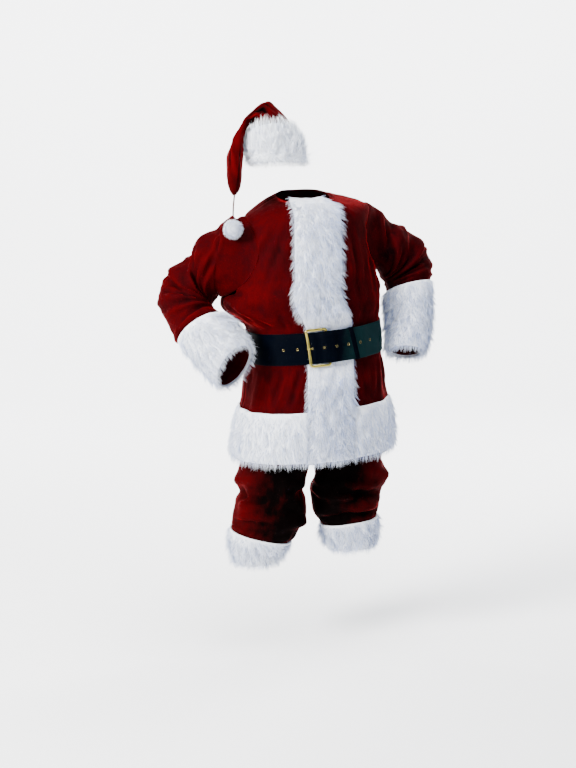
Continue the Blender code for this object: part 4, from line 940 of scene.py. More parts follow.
def makeHemFur():
    at = np.linspace(hemFur["low"], hemFur["high"], hemFur["rows"])[:, None]
    edge = math.atan2(stripHalf, float(coatSizes(0.78)["front"])) + 0.004
    angle = np.linspace(edge, allRound - edge, hemFur["columns"])[None, :]
    base = coatPoints(angle, at)
    out = gridNormals(base, False, base - base.mean(axis=1, keepdims=True))
    rise = np.interp(at, hemFur["knots"], hemFur["rise"])
    away = np.minimum(angle - angle[:, :1], angle[:, -1:] - angle)
    height = rise * (0.55 + 0.45 * ease(away, 0.0, 0.06))
    furBand("hemFur", "hem_fur", base, out, height, flatComb(down, out, 1.0), False,
            hemFur["flat"], density=52000.0, tuftPull=0.70, tuftSize=0.014,
            pile=np.interp(at, hemFur["pileKnots"], hemFur["pile"]),
            turned=1 - ease(np.arange(len(at)), 1.0, 3.0))


makeStripFur()
makeHemFur()
print("coat and its fur made")


# rings from the armhole to the hand: the outer place, the inner place, half depth
# folds: row, degrees from the outer line round the front, rows long, degrees wide, tall
# creases: degrees and row, at both ends
sleeveRight = {
    "side": -1, "front": -1, "node": "right", "cuffFrom": 9.3, "clothTo": 13.45, "cuffTo": 13.7,
    "flat": (0.56, 0.60), "cuffFlat": (0.50, 0.145),
    "rings": (
        (-0.233, -0.045, 1.455, -0.281, -0.060, 1.216, 0.086),
        (-0.272, -0.040, 1.436, -0.286, -0.064, 1.214, 0.087),
        (-0.317, -0.030, 1.405, -0.291, -0.069, 1.210, 0.086),
        (-0.362, -0.015, 1.344, -0.296, -0.074, 1.205, 0.084),
        (-0.417, -0.010, 1.294, -0.300, -0.080, 1.200, 0.082),
        (-0.459, -0.020, 1.244, -0.301, -0.085, 1.193, 0.082),
        (-0.468, -0.045, 1.186, -0.296, -0.092, 1.186, 0.082),
        (-0.444, -0.080, 1.128, -0.286, -0.103, 1.176, 0.080),
        (-0.404, -0.115, 1.075, -0.268, -0.116, 1.163, 0.078),
        (-0.375, -0.135, 1.049, -0.252, -0.131, 1.149, 0.075),
        (-0.336, -0.165, 1.015, -0.230, -0.156, 1.131, 0.073),
        (-0.302, -0.193, 0.983, -0.207, -0.180, 1.105, 0.071),
        (-0.276, -0.215, 0.959, -0.191, -0.200, 1.081, 0.070),
        (-0.259, -0.229, 0.945, -0.181, -0.213, 1.066, 0.069),
    ),
    "folds": (
        (1.3, 10, 0.50, 60, 0.010), (2.3, 40, 0.35, 50, -0.008), (3.2, 40, 0.40, 60, 0.008),
        (4.1, 65, 0.38, 50, -0.008), (5.1, 60, 0.42, 60, 0.008), (6.1, 75, 0.38, 50, -0.008),
        (7.1, 60, 0.42, 60, 0.008), (8.1, 70, 0.38, 60, -0.007), (8.9, 20, 0.35, 90, 0.007),
        (2.4, -60, 0.45, 50, -0.008), (3.5, -60, 0.45, 50, 0.008), (4.7, -65, 0.45, 50, -0.008),
        (5.8, -65, 0.45, 50, 0.008), (7.0, -70, 0.45, 50, -0.007), (8.1, -60, 0.45, 50, 0.007),
    ),
    "creases": (
        (168, 6.3, 28, 3.3, 0.06, 8, 8.0, 0.6), (166, 6.7, 14, 4.9, -0.05, 8, 7.5, -0.5),
        (163, 7.1, 16, 6.5, 0.04, 7, -8.0, 0.5), (168, 7.5, 22, 8.0, -0.05, 9, 8.5, 0.6),
        (160, 7.9, 44, 9.1, 0.05, 7, -6.0, 0.4), (150, 5.8, 66, 2.1, -0.08, 9, -6.5, 0.5),
        (160, 5.2, 96, 1.5, 0.07, 10, 6.0, -0.5), (120, 3.4, 30, 1.4, 0.10, 9, 5.0, 0.5),
        (62, 0.7, -30, 1.3, 0.12, 11, 8.0, 0.6), (84, 1.5, 10, 2.2, 0.08, 8, -6.0, 0.4),
        (40, 4.2, -24, 4.6, 0.10, 7, 4.5, 0.5), (36, 5.7, -30, 5.9, -0.08, 8, 4.5, 0.5),
        (30, 7.2, -34, 7.0, 0.08, 7, 4.5, 0.5), (126, 8.7, 40, 9.0, 0.04, 7, 6.0, 0.5),
        (70, 9.0, -50, 9.0, 0.03, 6, 4.5, 0.5), (110, 6.9, 60, 5.7, 0.1, 6, -5.0, 0.4),
        (-40, 2.0, -120, 4.0, 0.1, 10, 7.0, 0.5), (-60, 4.4, -160, 6.2, -0.06, 9, 8.0, 0.5),
        (-50, 5.6, -164, 6.8, 0.05, 8, -7.0, 0.5), (-44, 6.8, -160, 7.3, 0.05, 9, 8.0, 0.6),
        (-60, 8.2, -150, 8.0, -0.05, 8, -6.0, 0.4), (-90, 1.2, -150, 3.2, 0.06, 9, -5.0, 0.5),
    ),
}
sleeveLeft = {
    "side": 1, "front": 1, "node": "left", "cuffFrom": 7.2, "clothTo": 11.3, "cuffTo": 11.7,
    "flat": (0.56, 0.56), "cuffFlat": (0.50, 0.165),
    "rings": (
        (0.243, 0.072, 1.479, 0.240, 0.074, 1.284, 0.084),
        (0.281, 0.076, 1.447, 0.245, 0.072, 1.280, 0.086),
        (0.318, 0.088, 1.426, 0.250, 0.068, 1.274, 0.086),
        (0.358, 0.110, 1.402, 0.256, 0.063, 1.264, 0.084),
        (0.393, 0.128, 1.359, 0.263, 0.058, 1.254, 0.083),
        (0.411, 0.126, 1.304, 0.271, 0.053, 1.242, 0.082),
        (0.411, 0.106, 1.247, 0.277, 0.046, 1.225, 0.080),
        (0.405, 0.082, 1.193, 0.277, 0.037, 1.197, 0.076),
        (0.402, 0.052, 1.136, 0.280, 0.022, 1.146, 0.073),
        (0.396, 0.022, 1.081, 0.281, 0.002, 1.092, 0.071),
        (0.387, -0.006, 1.035, 0.277, -0.018, 1.048, 0.069),
        (0.381, -0.016, 1.015, 0.275, -0.027, 1.028, 0.068),
    ),
    "folds": (
        (1.0, 20, 0.45, 50, 0.008), (1.8, 60, 0.35, 50, -0.008), (2.7, 50, 0.42, 55, 0.009),
        (3.6, 70, 0.38, 50, -0.008), (4.5, 55, 0.42, 60, 0.008), (5.4, 75, 0.38, 60, -0.007),
        (6.2, 30, 0.40, 90, 0.007), (2.0, -60, 0.45, 50, -0.008), (3.0, -60, 0.45, 50, 0.008),
        (4.1, -65, 0.45, 50, -0.008), (5.2, -60, 0.45, 50, 0.008),
    ),
    "creases": (
        (165, 4.2, 60, 2.3, 0.05, 9, 8.0, 0.6), (162, 4.7, 48, 3.5, -0.05, 8, -8.0, 0.5),
        (166, 5.2, 40, 4.6, 0.04, 9, 8.5, 0.5), (160, 5.7, 30, 5.6, 0.05, 7, -6.5, 0.5),
        (164, 6.2, 40, 6.5, -0.04, 8, 7.0, 0.6), (110, 3.0, 30, 1.6, 0.08, 9, 5.5, 0.5),
        (100, 1.6, 20, 0.8, 0.05, 9, 6.0, 0.5), (60, 3.2, -20, 3.0, 0.08, 8, 4.5, 0.5),
        (50, 5.1, -24, 5.0, -0.08, 7, 4.5, 0.5), (80, 6.8, -20, 6.8, 0.04, 6, 5.0, 0.5),
        (140, 6.9, 90, 6.7, 0.04, 6, 4.0, 0.4), (96, 4.5, 60, 3.9, 0.1, 6, -4.5, 0.4),
        (-40, 1.6, -120, 3.0, 0.1, 10, 7.0, 0.5), (-60, 3.6, -158, 4.8, -0.06, 9, 8.0, 0.5),
        (-50, 4.6, -160, 5.4, 0.05, 8, -7.0, 0.5), (-44, 5.6, -160, 6.0, 0.05, 9, 7.5, 0.6),
        (-90, 0.8, -150, 2.2, 0.06, 9, -5.0, 0.5),
    ),
}
sleeveCloth = {"girth": 0.084, "rowLength": 0.050, "crease": 1.3, "share": 0.88}
cuffFur = {"knots": (0, 0.06, 0.16, 0.5, 0.84, 1.0),
           "rise": (0.007, 0.013, 0.0185, 0.020, 0.0175, 0.007),
           "pileKnots": (0, 0.1, 0.3, 0.8, 1.0), "pile": (0.6, 0.85, 1.05, 1.08, 1.0)}


def tableRings(table, columns, front):
    # ovals from the outer place round by the front, for which the arms differ in sign
    table = np.array(table, float)
    outer, inner = table[:, :3], table[:, 3:6]
    centre, half = (outer + inner) / 2, (outer - inner) / 2
    axis = np.gradient(centre, axis=0)
    deep = unit(np.cross(axis, half)) * table[:, 6:7] * front
    turn = allRound * np.arange(columns) / columns
    return (centre[:, None] + np.cos(turn)[None, :, None] * half[:, None]
            + np.sin(turn)[None, :, None] * deep[:, None])


def roundArmhole(front, rear):
    # from the top down the front and up the back
    rows = np.arange(firstArm + 1, lastArm)
    return np.concatenate([[(front[lastArm] + rear[lastArm]) / 2], front[rows[::-1]],
                           [(front[firstArm] + rear[firstArm]) / 2], rear[rows]])


def makeSleeve(name, s):
    side = s["side"]
    # the panels' columns, counted from the armhole
    front = panels["left"][1][:, ::-1] if side > 0 else panels["right"][1]
    rear = panels["back"][1] if side > 0 else panels["back"][1][:, ::-1]
    hole = roundArmhole(front[:, 0], rear[:, 0])
    hole = hole - unit(hole - hole.mean(axis=0)) * seamHalf * 2
    columns = len(hole)
    outward = np.array([side * math.cos(chestTurn), side * math.sin(chestTurn), 0.0])
    # at front and back the sleeve leaves the hole along the coat's own surface
    along = roundArmhole(front[:, 0] - front[:, 2], rear[:, 0] - rear[:, 2])
    share = (abs(np.sin(allRound * np.arange(columns) / columns)) * 0.80)[:, None]
    start = hole + unit(outward * (1 - share) + unit(along) * share) * 0.014
    rings = np.concatenate([hole[None], start[None],
                            tableRings(s["rings"], columns, s["front"])])
    rows = np.concatenate([np.linspace(-1, 0, 4)[:-1], np.arange(0, s["cuffTo"], 0.13),
                           [s["cuffTo"]]])
    grid = alongRows(np.arange(len(rings)) - 1.0, rings, rows)
    away = grid - grid.mean(axis=1, keepdims=True)
    out = gridNormals(grid, True, away)
    turn = np.degrees(allRound * np.arange(columns) / columns)
    for at, angle, long, wide, tall in s["folds"]:
        beside = hump(halfRound(turn - angle), 0, wide)[None, :]
        grid = grid + out * (tall * hump(rows[:, None], at, long) * beside)[..., None]
    out = gridNormals(grid, True, away)
    first, last = s["cuffFrom"], s["cuffTo"]
    relief = sleeveCloth["crease"] * creaseField(halfRound(turn), rows[:, None], s["creases"],
                                                 sleeveCloth["girth"], sleeveCloth["rowLength"])
    relief += 0.0012 * rippleAt(grid, 0.10, 21) + 0.0005 * rippleAt(grid, 0.045, 22)
    relief = relief * (ease(rows, -0.4, 0.9)
                       * (1 - ease(rows, first - 0.3, first + 0.3)))[:, None]
    # the cloth turns in under the edge of the cuff
    relief = relief - 0.002 * hump(rows, first, 0.22)[:, None]
    creased = grid + out * relief[..., None]
    cloth = rows <= s["clothTo"]
    addCloth(name, "sleeve_" + s["node"], creased[cloth],
             gridNormals(creased, True, away)[cloth], relief[cloth], True, coatVelvet,
             s["flat"], sleeveCloth["share"])

    # the cuff's fur, brushed to the hand
    at = np.linspace(first - 0.05, last, 30)
    base = alongRows(rows, grid, at)
    share = (at - first) / (last - first)
    rise = np.interp(share, cuffFur["knots"], cuffFur["rise"])[:, None]
    comb = unit(np.gradient(base, axis=0)) * (0.85 + 0.25 * ease(share, 0.6, 1.0))[:, None, None]
    furBand(name.replace("sleeve", "cuff") + "Fur", "cuff_fur_" + s["node"], base,
            unit(alongRows(rows, out, at)), rise, comb, True, s["cuffFlat"], rise=0.75,
            tuftPull=0.7, pile=np.interp(share, cuffFur["pileKnots"], cuffFur["pile"])[:, None],
            tuftSize=0.018, turned=1.6 * ease(at, s["clothTo"] - 0.3, s["clothTo"] + 0.1))


makeSleeve("sleeveRight", sleeveRight)
makeSleeve("sleeveLeft", sleeveLeft)
print("sleeves and cuffs made")


# rows: height, inner x, outer x, middle y, half depth, roll
# creases: degrees from the inner side round the front and height, at both ends
legs = {
    "right": {
        "side": -1, "flat": (0.76, 0.98), "cuffFlat": (0.50, 0.10),
        "table": (
            (0.322, -0.098, -0.224, -0.022, 0.066, 0.05),
            (0.345, -0.088, -0.234, -0.022, 0.072, -0.02),
            (0.372, -0.074, -0.242, -0.022, 0.079, -0.12),
            (0.398, -0.062, -0.246, -0.022, 0.084, -0.22),
            (0.425, -0.038, -0.245, -0.022, 0.094, -0.22),
            (0.455, -0.012, -0.240, -0.023, 0.104, -0.14),
            (0.490, 0.002, -0.238, -0.024, 0.110, -0.06),
            (0.528, 0.000, -0.232, -0.025, 0.110, 0.0),
            (0.562, -0.006, -0.216, -0.026, 0.106, 0.0),
            (0.605, 0.005, -0.229, -0.027, 0.112, 0.0),
            (0.670, 0.012, -0.214, -0.028, 0.112, 0.0),
            (0.755, 0.008, -0.204, -0.027, 0.116, 0.0),
        ),
        "creases": (
            (-168, 0.436, 60, 0.452, 0.05, 13, -12.0, 0.6),
            (20, 0.420, 175, 0.430, -0.04, 13, 10.5, 0.4),
            (70, 0.475, 165, 0.456, 0.06, 12, -9.5, 0.5),
            (-30, 0.455, 60, 0.470, 0.10, 13, 9.0, 0.5),
            (165, 0.566, 95, 0.556, 0.08, 13, -11.5, 0.6),
            (178, 0.606, 100, 0.640, 0.10, 17, 11.5, 0.4),
            (120, 0.650, 138, 0.480, 0.05, 19, 10.5, 0.5),
            (94, 0.640, 110, 0.500, -0.06, 17, -7.0, 0.4),
            (60, 0.650, 70, 0.500, 0.07, 17, 9.0, 0.5),
            (20, 0.560, 70, 0.590, 0.10, 13, -9.0, 0.5),
            (16, 0.610, 60, 0.560, 0.10, 13, 9.0, 0.5),
            (30, 0.500, 64, 0.530, 0.10, 12, -7.0, 0.5),
            (-20, 0.640, -60, 0.500, 0.06, 17, 10.5, 0.5),
            (-80, 0.650, -70, 0.480, 0.05, 17, -9.0, 0.4),
            (-110, 0.640, -130, 0.480, 0.06, 17, 10.5, 0.5),
            (-60, 0.555, -150, 0.575, 0.05, 14, -12.0, 0.5),
            (-40, 0.600, -140, 0.590, 0.04, 14, 10.5, 0.5),
            (-30, 0.450, -150, 0.470, 0.04, 13, 10.5, 0.5),
            (-40, 0.490, -130, 0.510, 0.04, 13, -9.0, 0.5),
        ),
    },
    "left": {
        "side": 1, "flat": (0.76, 0.94), "cuffFlat": (0.50, 0.10),
        "table": (
            (0.357, 0.098, 0.229, 0.040, 0.068, 0.10), (0.381, 0.084, 0.234, 0.040, 0.073, 0.11),
            (0.409, 0.070, 0.236, 0.040, 0.079, 0.13), (0.436, 0.062, 0.238, 0.040, 0.084, 0.15),
            (0.462, 0.048, 0.243, 0.040, 0.094, 0.12), (0.490, 0.031, 0.253, 0.040, 0.102, 0.08),
            (0.525, 0.024, 0.258, 0.040, 0.108, 0.0), (0.560, 0.018, 0.263, 0.040, 0.108, 0.0),
            (0.602, 0.032, 0.273, 0.040, 0.112, 0.0), (0.670, 0.030, 0.261, 0.040, 0.112, 0.0),
            (0.755, 0.026, 0.250, 0.034, 0.114, 0.0),
        ),
        "creases": (
            (20, 0.466, 150, 0.480, 0.05, 13, -12.0, 0.6),
            (30, 0.452, 160, 0.462, -0.04, 13, 10.5, 0.4),
            (150, 0.505, 50, 0.535, 0.08, 13, 12.0, 0.6),
            (146, 0.540, 66, 0.575, -0.06, 12, -10.5, 0.5),
            (150, 0.580, 70, 0.602, 0.06, 13, 12.0, 0.5),
            (110, 0.560, 40, 0.548, 0.08, 12, 9.5, 0.5),
            (172, 0.556, 120, 0.548, 0.08, 13, -11.5, 0.6),
            (176, 0.606, 130, 0.640, 0.10, 17, 11.5, 0.4),
            (100, 0.640, 84, 0.520, 0.06, 19, 9.0, 0.5),
            (60, 0.640, 44, 0.500, 0.06, 17, -9.0, 0.4),
            (10, 0.600, 50, 0.580, 0.10, 13, 9.0, 0.5),
            (6, 0.540, 46, 0.520, 0.10, 13, -9.0, 0.5),
            (90, 0.512, 130, 0.500, 0.08, 10, -8.0, 0.5),
            (-20, 0.640, -60, 0.520, 0.06, 17, 10.5, 0.5),
            (-80, 0.650, -70, 0.500, 0.05, 17, -9.0, 0.4),
            (-110, 0.640, -130, 0.500, 0.06, 17, 10.5, 0.5),
            (-60, 0.560, -150, 0.580, 0.05, 14, -12.0, 0.5),
            (-40, 0.610, -140, 0.600, 0.04, 14, 10.5, 0.5),
            (-30, 0.478, -150, 0.492, 0.04, 13, 10.5, 0.5),
        ),
    },
}
# above the legs: height, half width, depths to the front and the back, and the depths at
# the middle seam; the crotch has no half width
seatRows = (
    (0.800, None, 0.118, 0.128, 0.000, 0.000), (0.812, 0.213, 0.128, 0.140, 0.030, 0.036),
    (0.830, 0.212, 0.138, 0.152, 0.064, 0.078), (0.858, 0.208, 0.148, 0.164, 0.098, 0.120),
    (0.900, 0.204, 0.164, 0.172, 0.140, 0.154),
    (0.955, 0.198, 0.169, 0.165, 0.165, 0.163), (1.000, 0.1960, 0.1730, 0.1608, 0.1730, 0.1608),
)
seat = {"middle": (0.022, 0.004), "gap": 0.0004, "crotchHalf": 0.106}
legCloth = {"girth": 0.115, "columns": 92, "cuffRow": 3.35, "gather": 0.0026, "share": 0.72}
trouserCuff = {"rows": 22, "knots": (0, 0.12, 0.4, 0.75, 1.0),
               "rise": (0.007, 0.016, 0.020, 0.019, 0.008)}
waist = {"low": 1.0006, "high": 1.040, "thick": 0.004, "rows": 9, "columns": 220,
         "ruck": 0.0012, "rucks": 55, "flat": (1.05, 0.04)}


def legRings(leg, columns):
    side, rings = leg["side"], []
    for height, inner, outer, middle, depth, roll in leg["table"]:
        centre, wide = (inner + outer) / 2, abs(outer - inner) / 2
        turn = np.linspace(seat["gap"] / wide, allRound - seat["gap"] / wide, columns + 1)
        c, s = np.cos(turn), np.sin(turn)
        r = boxyRadius(c, s, wide, depth)
        r *= 1 + 0.030 * np.sin(3 * turn + height * 40) * (height > 0.43)
        rings.append(np.stack([centre - side * r * c, middle - r * s,
                               height - side * roll * r * c], axis=-1))
    for height, wide, front, rear, fore, aft in seatRows:
        if wide is None:
            w = seat["crotchHalf"]
            t = 0.004 + (allRound - 0.008) * np.arange(columns + 1) / columns
            x = w - w * np.cos(t)
            y = -np.where(t < math.pi, front, rear) * np.sin(t)
        else:
            t = np.linspace(0, math.pi, columns + 1)
            c, s = np.cos(t), np.sin(t)
            deep, reach = np.where(c > 0, front, rear), np.where(c > 0, fore, aft)
            r = boxyRadius(s, c, wide, deep)
            dip = np.maximum(0.0, 1 - r * s / (0.75 * wide)) ** 2
            x, y = r * s, -r * c * (1 - (1 - reach / deep) * dip)
        rings.append(turnedWithChest(seat["middle"], side * (x + seat["gap"] / 2), y, height))
    return np.array(rings)


def makeLeg(name, leg):
    side, columns, cuffRow = leg["side"], legCloth["columns"], legCloth["cuffRow"]
    rings = legRings(leg, columns)
    hip, last = len(leg["table"]) - 1, len(rings) - 1
    rows = np.concatenate([np.arange(0, hip, 0.17), np.arange(hip, last, 0.34), [last]])
    grid = alongRows(np.arange(len(rings)), rings, rows)
    out = gridNormals(grid, False, grid - grid.mean(axis=1, keepdims=True))
    # the edges of the inside seam share their normals, and those of the seat stay level
    seam = rows <= hip + 1
    both = unit(out[:, 0] + out[:, -1])
    across = np.array([math.cos(chestTurn), math.sin(chestTurn), 0])
    for j in (0, -1):
        level = unit(out[:, j] - across * np.sum(out[:, j] * across, axis=-1, keepdims=True))
        out[:, j] = np.where(seam[:, None], both, level)
    high = alongRows(np.arange(hip + 1), [row[0] for row in leg["table"]],
                     np.minimum(rows, hip)) + np.maximum(rows - hip, 0) * 0.05
    turn = halfRound(np.linspace(0, 360, columns + 1))
    relief = creaseField(turn, high[:, None], leg["creases"], legCloth["girth"])
    # gathers into the elastic above the fur
    gather = np.sin(np.radians(turn) * 17 + 1.7 * np.sin(np.radians(turn) * 4 + side))
    gather = gather[None, :] * hump(rows, cuffRow + 0.7, 0.8)[:, None]
    relief = relief + legCloth["gather"] * gather
    relief = relief + 0.0016 * rippleAt(grid, 0.11, 31 + side)
    relief = relief + 0.0006 * rippleAt(grid, 0.045, 33 + side)
    relief = relief * (ease(rows, cuffRow, cuffRow + 1.3)
                       * (1 - ease(rows, last - 7.0, last - 4.0)))[:, None]
    relief = relief - 0.003 * hump(rows, cuffRow, 0.5)[:, None]
    seamAway = np.minimum(np.arange(columns + 1), columns - np.arange(columns + 1))
    relief = relief * ease(seamAway, 0, 5)[None, :]
    addCloth("trouserLeg" + name.capitalize(), "trouser_leg_" + name,
             grid + out * relief[..., None], out, relief, False, legVelvet, leg["flat"],
             legCloth["share"])

    at = np.linspace(0, cuffRow + 0.25, trouserCuff["rows"])
    band, bandOut = alongRows(rows, grid, at), unit(alongRows(rows, out, at))
    ring = band[:, :-1].copy()
    ring[:, 0] = (ring[:, 0] + band[:, -1]) / 2
    ringOut = unit(bandOut[:, :-1] * np.array([1, 1, 0.15]))
    ring = np.concatenate([ring[:1] + down * 0.003, ring[:1] + down * 0.0015, ring])
    ringOut = np.concatenate([ringOut[:1], ringOut[:1], ringOut])
    share = np.linspace(0, 1, len(ring))
    rise = np.interp(share, trouserCuff["knots"], trouserCuff["rise"])[:, None]
    furBand("trouserCuff" + name.capitalize() + "Fur", "trouser_cuff_fur_" + name, ring,
            ringOut, rise, flatComb(down, ringOut, 0.9), True, leg["cuffFlat"], rise=0.95,
            stray=0.42, tuftPull=0.95, tuftSize=0.021, length=0.029, upperEdge=0.0,
            turned=1 - ease(np.arange(len(ring)), 1.5, 3.5))


def makeWaistband():
    turn = allRound * np.arange(waist["columns"]) / waist["columns"]
    s, c = np.sin(turn), np.cos(turn)
    half, front, rear = seatRows[-1][1:4]
    share = np.linspace(0, 1, waist["rows"])
    ruck = (waist["ruck"] * np.sin(turn * waist["rucks"])[None, :]
            * np.sin(np.pi * share)[:, None])
    r = boxyRadius(s, c, half, np.where(c > 0, front, rear))[None, :] + ruck
    rows = np.linspace(waist["low"], waist["high"], waist["rows"])
    grid = turnedWithChest(seat["middle"], r * s, -r * c, rows[:, None])
    out = gridNormals(grid, True, grid - grid.mean(axis=1, keepdims=True))
    points, faces = wallOf(grid, grid - out * waist["thick"], True)
    piece = readFor(addPiece("trouserWaistband", points, faces, waistElastic),
                    "waist_elastic", "trouser_waistband")


for name, leg in legs.items():
    makeLeg(name, leg)
makeWaistband()
print("trousers made")


# rings from the brim over the fold to the point: left x and z, right x and z, middle y,
# half depth; creases: degrees from the fold's left line round the front and row, at both ends
hat = {"rings": (
    (-0.182, 1.642, -0.010, 1.647, 0.000, 0.101), (-0.187, 1.690, -0.022, 1.700, 0.000, 0.101),
    (-0.178, 1.735, -0.044, 1.749, 0.000, 0.097), (-0.170, 1.758, -0.066, 1.783, 0.000, 0.090),
    (-0.171, 1.764, -0.094, 1.808, 0.000, 0.084), (-0.175, 1.766, -0.119, 1.826, 0.000, 0.078),
    (-0.179, 1.763, -0.158, 1.802, -0.002, 0.073), (-0.186, 1.754, -0.188, 1.779, -0.006, 0.069),
    (-0.191, 1.737, -0.207, 1.745, -0.012, 0.066), (-0.198, 1.706, -0.231, 1.704, -0.022, 0.063),
    (-0.200, 1.665, -0.246, 1.660, -0.040, 0.059), (-0.200, 1.622, -0.251, 1.618, -0.062, 0.053),
    (-0.202, 1.583, -0.248, 1.578, -0.084, 0.044), (-0.207, 1.553, -0.239, 1.549, -0.101, 0.028),
    (-0.2180, 1.535, -0.2285, 1.533, -0.110, 0.0055),
), "columns": 96, "flat": (0.62, 0.62), "share": 0.55, "girth": 0.085, "rowLength": 0.035,
    "crease": 1.5, "creases": (
        (36, 4.2, 74, 6.3, 0.05, 15, -9.0, 0.0), (78, 3.7, 92, 6.2, 0.05, 17, -13.0, 0.0),
        (112, 3.9, 98, 6.4, -0.05, 9, 7.0, 0.4), (36, 3.2, 50, 6.6, 0.06, 9, 6.0, 0.5),
        (140, 3.4, 128, 6.8, 0.05, 9, -4.0, 0.4), (60, 7.5, 100, 11.5, 0.05, 9, 4.0, 0.5),
        (130, 7.5, 120, 12.5, 0.05, 9, -3.5, 0.4), (-60, 3.0, -80, 7.0, 0.06, 11, -6.0, 0.5),
        (-110, 3.0, -120, 8.0, 0.05, 11, 6.0, 0.5), (-60, 8.0, -100, 12.0, 0.05, 9, 4.0, 0.5),
    )}
brim = {"top": 2.72, "rows": 20, "flat": (0.66, 0.13), "seamAt": 62,
        "knots": (0, 0.12, 0.3, 0.6, 0.85, 1.0), "rise": (0.007, 0.018, 0.021, 0.021, 0.018, 0.008),
        "pileKnots": (0, 0.12, 0.8, 1.0), "pile": (0.72, 1.0, 1.05, 1.1)}


def makeHat():
    table = np.array(hat["rings"])
    columns = hat["columns"]
    turn = allRound * np.arange(columns) / columns
    a = np.stack([table[:, 0], table[:, 4], table[:, 1]], axis=1)
    b = np.stack([table[:, 2], table[:, 4], table[:, 3]], axis=1)
    flat = np.interp(np.arange(len(table)), (4, 6, 10, 14), (1.0, 0.50, 0.50, 0.85))[:, None]
    wide = np.sign(np.cos(turn)) * abs(np.cos(turn))[None, :] ** flat
    rings = ((a + b)[:, None] / 2 + wide[:, :, None] * (b - a)[:, None] / 2
             - np.sin(turn)[None, :, None] * table[:, 5][:, None, None] * np.array([0, 1, 0]))
    rows = np.concatenate([np.arange(0, 4, 0.13), np.arange(4, 14, 0.19), [14]])
    grid = alongRows(np.arange(len(rings)), rings, rows)
    away = grid - grid.mean(axis=1, keepdims=True)
    out = gridNormals(grid, True)
    if np.sum(out[20] * away[20]) < 0:
        out = -out
    relief = hat["crease"] * creaseField(halfRound(np.degrees(turn)), rows[:, None],
                                         hat["creases"], hat["girth"], hat["rowLength"])
    relief += 0.0012 * rippleAt(grid, 0.09, 41) + 0.0004 * rippleAt(grid, 0.04, 42)
    relief = relief * (ease(rows, brim["top"] - 0.2, brim["top"] + 1.0)
                       * (1 - ease(rows, 12.0, 13.6)))[:, None]
    addCloth("hatCrown", "hat_crown", grid + out * relief[..., None], out, relief, True,
             hatVelvet, hat["flat"], hat["share"])

    # the fur's top edge is highest at the front
    top = brim["top"] - 0.40 - np.where(np.cos(turn) > 0, 0.45, 0.30) * np.cos(turn) ** 2
    at = np.linspace(0, 1, brim["rows"])[:, None] * top
    base, baseOut = (np.stack([np.stack([np.interp(at[:, j], rows, field[:, j, k])
                                         for k in range(3)], axis=-1)
                               for j in range(columns)], axis=1) for field in (grid, out))
    lower = [base[:1] * 2 - alongRows(rows, grid, [0.14 * k]) for k in (1.0, 0.5)]
    base = np.concatenate([*lower, base])
    baseOut = np.concatenate([baseOut[:1], baseOut[:1], baseOut])
    baseOut = unit(baseOut * np.array([1, 1, 0.3]))
    press = (1 - 0.35 * np.maximum(0, -np.cos(turn)) ** 2)[None, :]
    share = np.linspace(0, 1, len(base))
    rise = np.interp(share, brim["knots"], brim["rise"])[:, None]
    # brushed up, but out and down at the lower edge
    upward = -0.9 + 1.85 * ease(share, 0.05, 0.28)
    comb = unit(np.gradient(base, axis=0)) * upward[:, None, None]
    seam = hump(halfRound(np.degrees(turn) - brim["seamAt"]), 0, 2.5)
    furBand("brimFur", "hat_brim_fur", base, baseOut,
            rise * press * (1 - 0.5 * seam)[None, :], comb, True, brim["flat"],
            pile=np.interp(share, brim["pileKnots"], brim["pile"])[:, None] * press,
            rise=0.6, tuftPull=0.7, stray=0.32, length=0.030,
            turned=1 - ease(np.arange(len(base)), 1.5, 3.5))


makeHat()

pompom = {"middle": (-0.227, -0.1478, 1.430), "core": 0.0235, "rings": 15, "sides": 24,
          "tieRadius": 0.0024, "tie": (
              (-0.2232, -0.1095, 1.5400), (-0.2240, -0.1125, 1.5280), (-0.2262, -0.1200, 1.505),
              (-0.2270, -0.1300, 1.480), (-0.2270, -0.1407, 1.4576))}


def closedRings(grid, ends):
    # rings of points, closed to one point at both ends
    rings, sides = grid.shape[:2]
    n = rings * sides
    j = np.arange(sides)
    k = (j + 1) % sides
    caps = np.concatenate([np.stack([k, j, np.full(sides, n)], axis=1),
                           np.stack([n - sides + j, n - sides + k, np.full(sides, n + 1)],
                                    axis=1)])
    return (np.concatenate([grid.reshape(-1, 3), ends]),
            [skinFaces(rings, sides, 0, True, False), caps])


def rodAlong(path, radius, sides, finer=4):
    # a round rod with closed ends along a smooth path
    path = np.array(path, float)
    radius = np.broadcast_to(radius, len(path))
    at = np.linspace(0, len(path) - 1, (len(path) - 1) * finer + 1)
    radius = np.interp(at, np.arange(len(path)), radius)
    path = alongRows(np.arange(len(path)), path, at)
    along = unit(np.gradient(path, axis=0))
    first = unit(np.cross(along[0], (0.3, 0.9, 0.2)))
    turn = allRound * np.arange(sides) / sides
    rings = []
    for p, d, r in zip(path, along, radius):
        first = unit(first - d * (first @ d))
        second = np.cross(d, first)
        rings.append(p + r * (np.cos(turn)[:, None] * first + np.sin(turn)[:, None] * second))
    return closedRings(np.array(rings), path[[0, -1]])


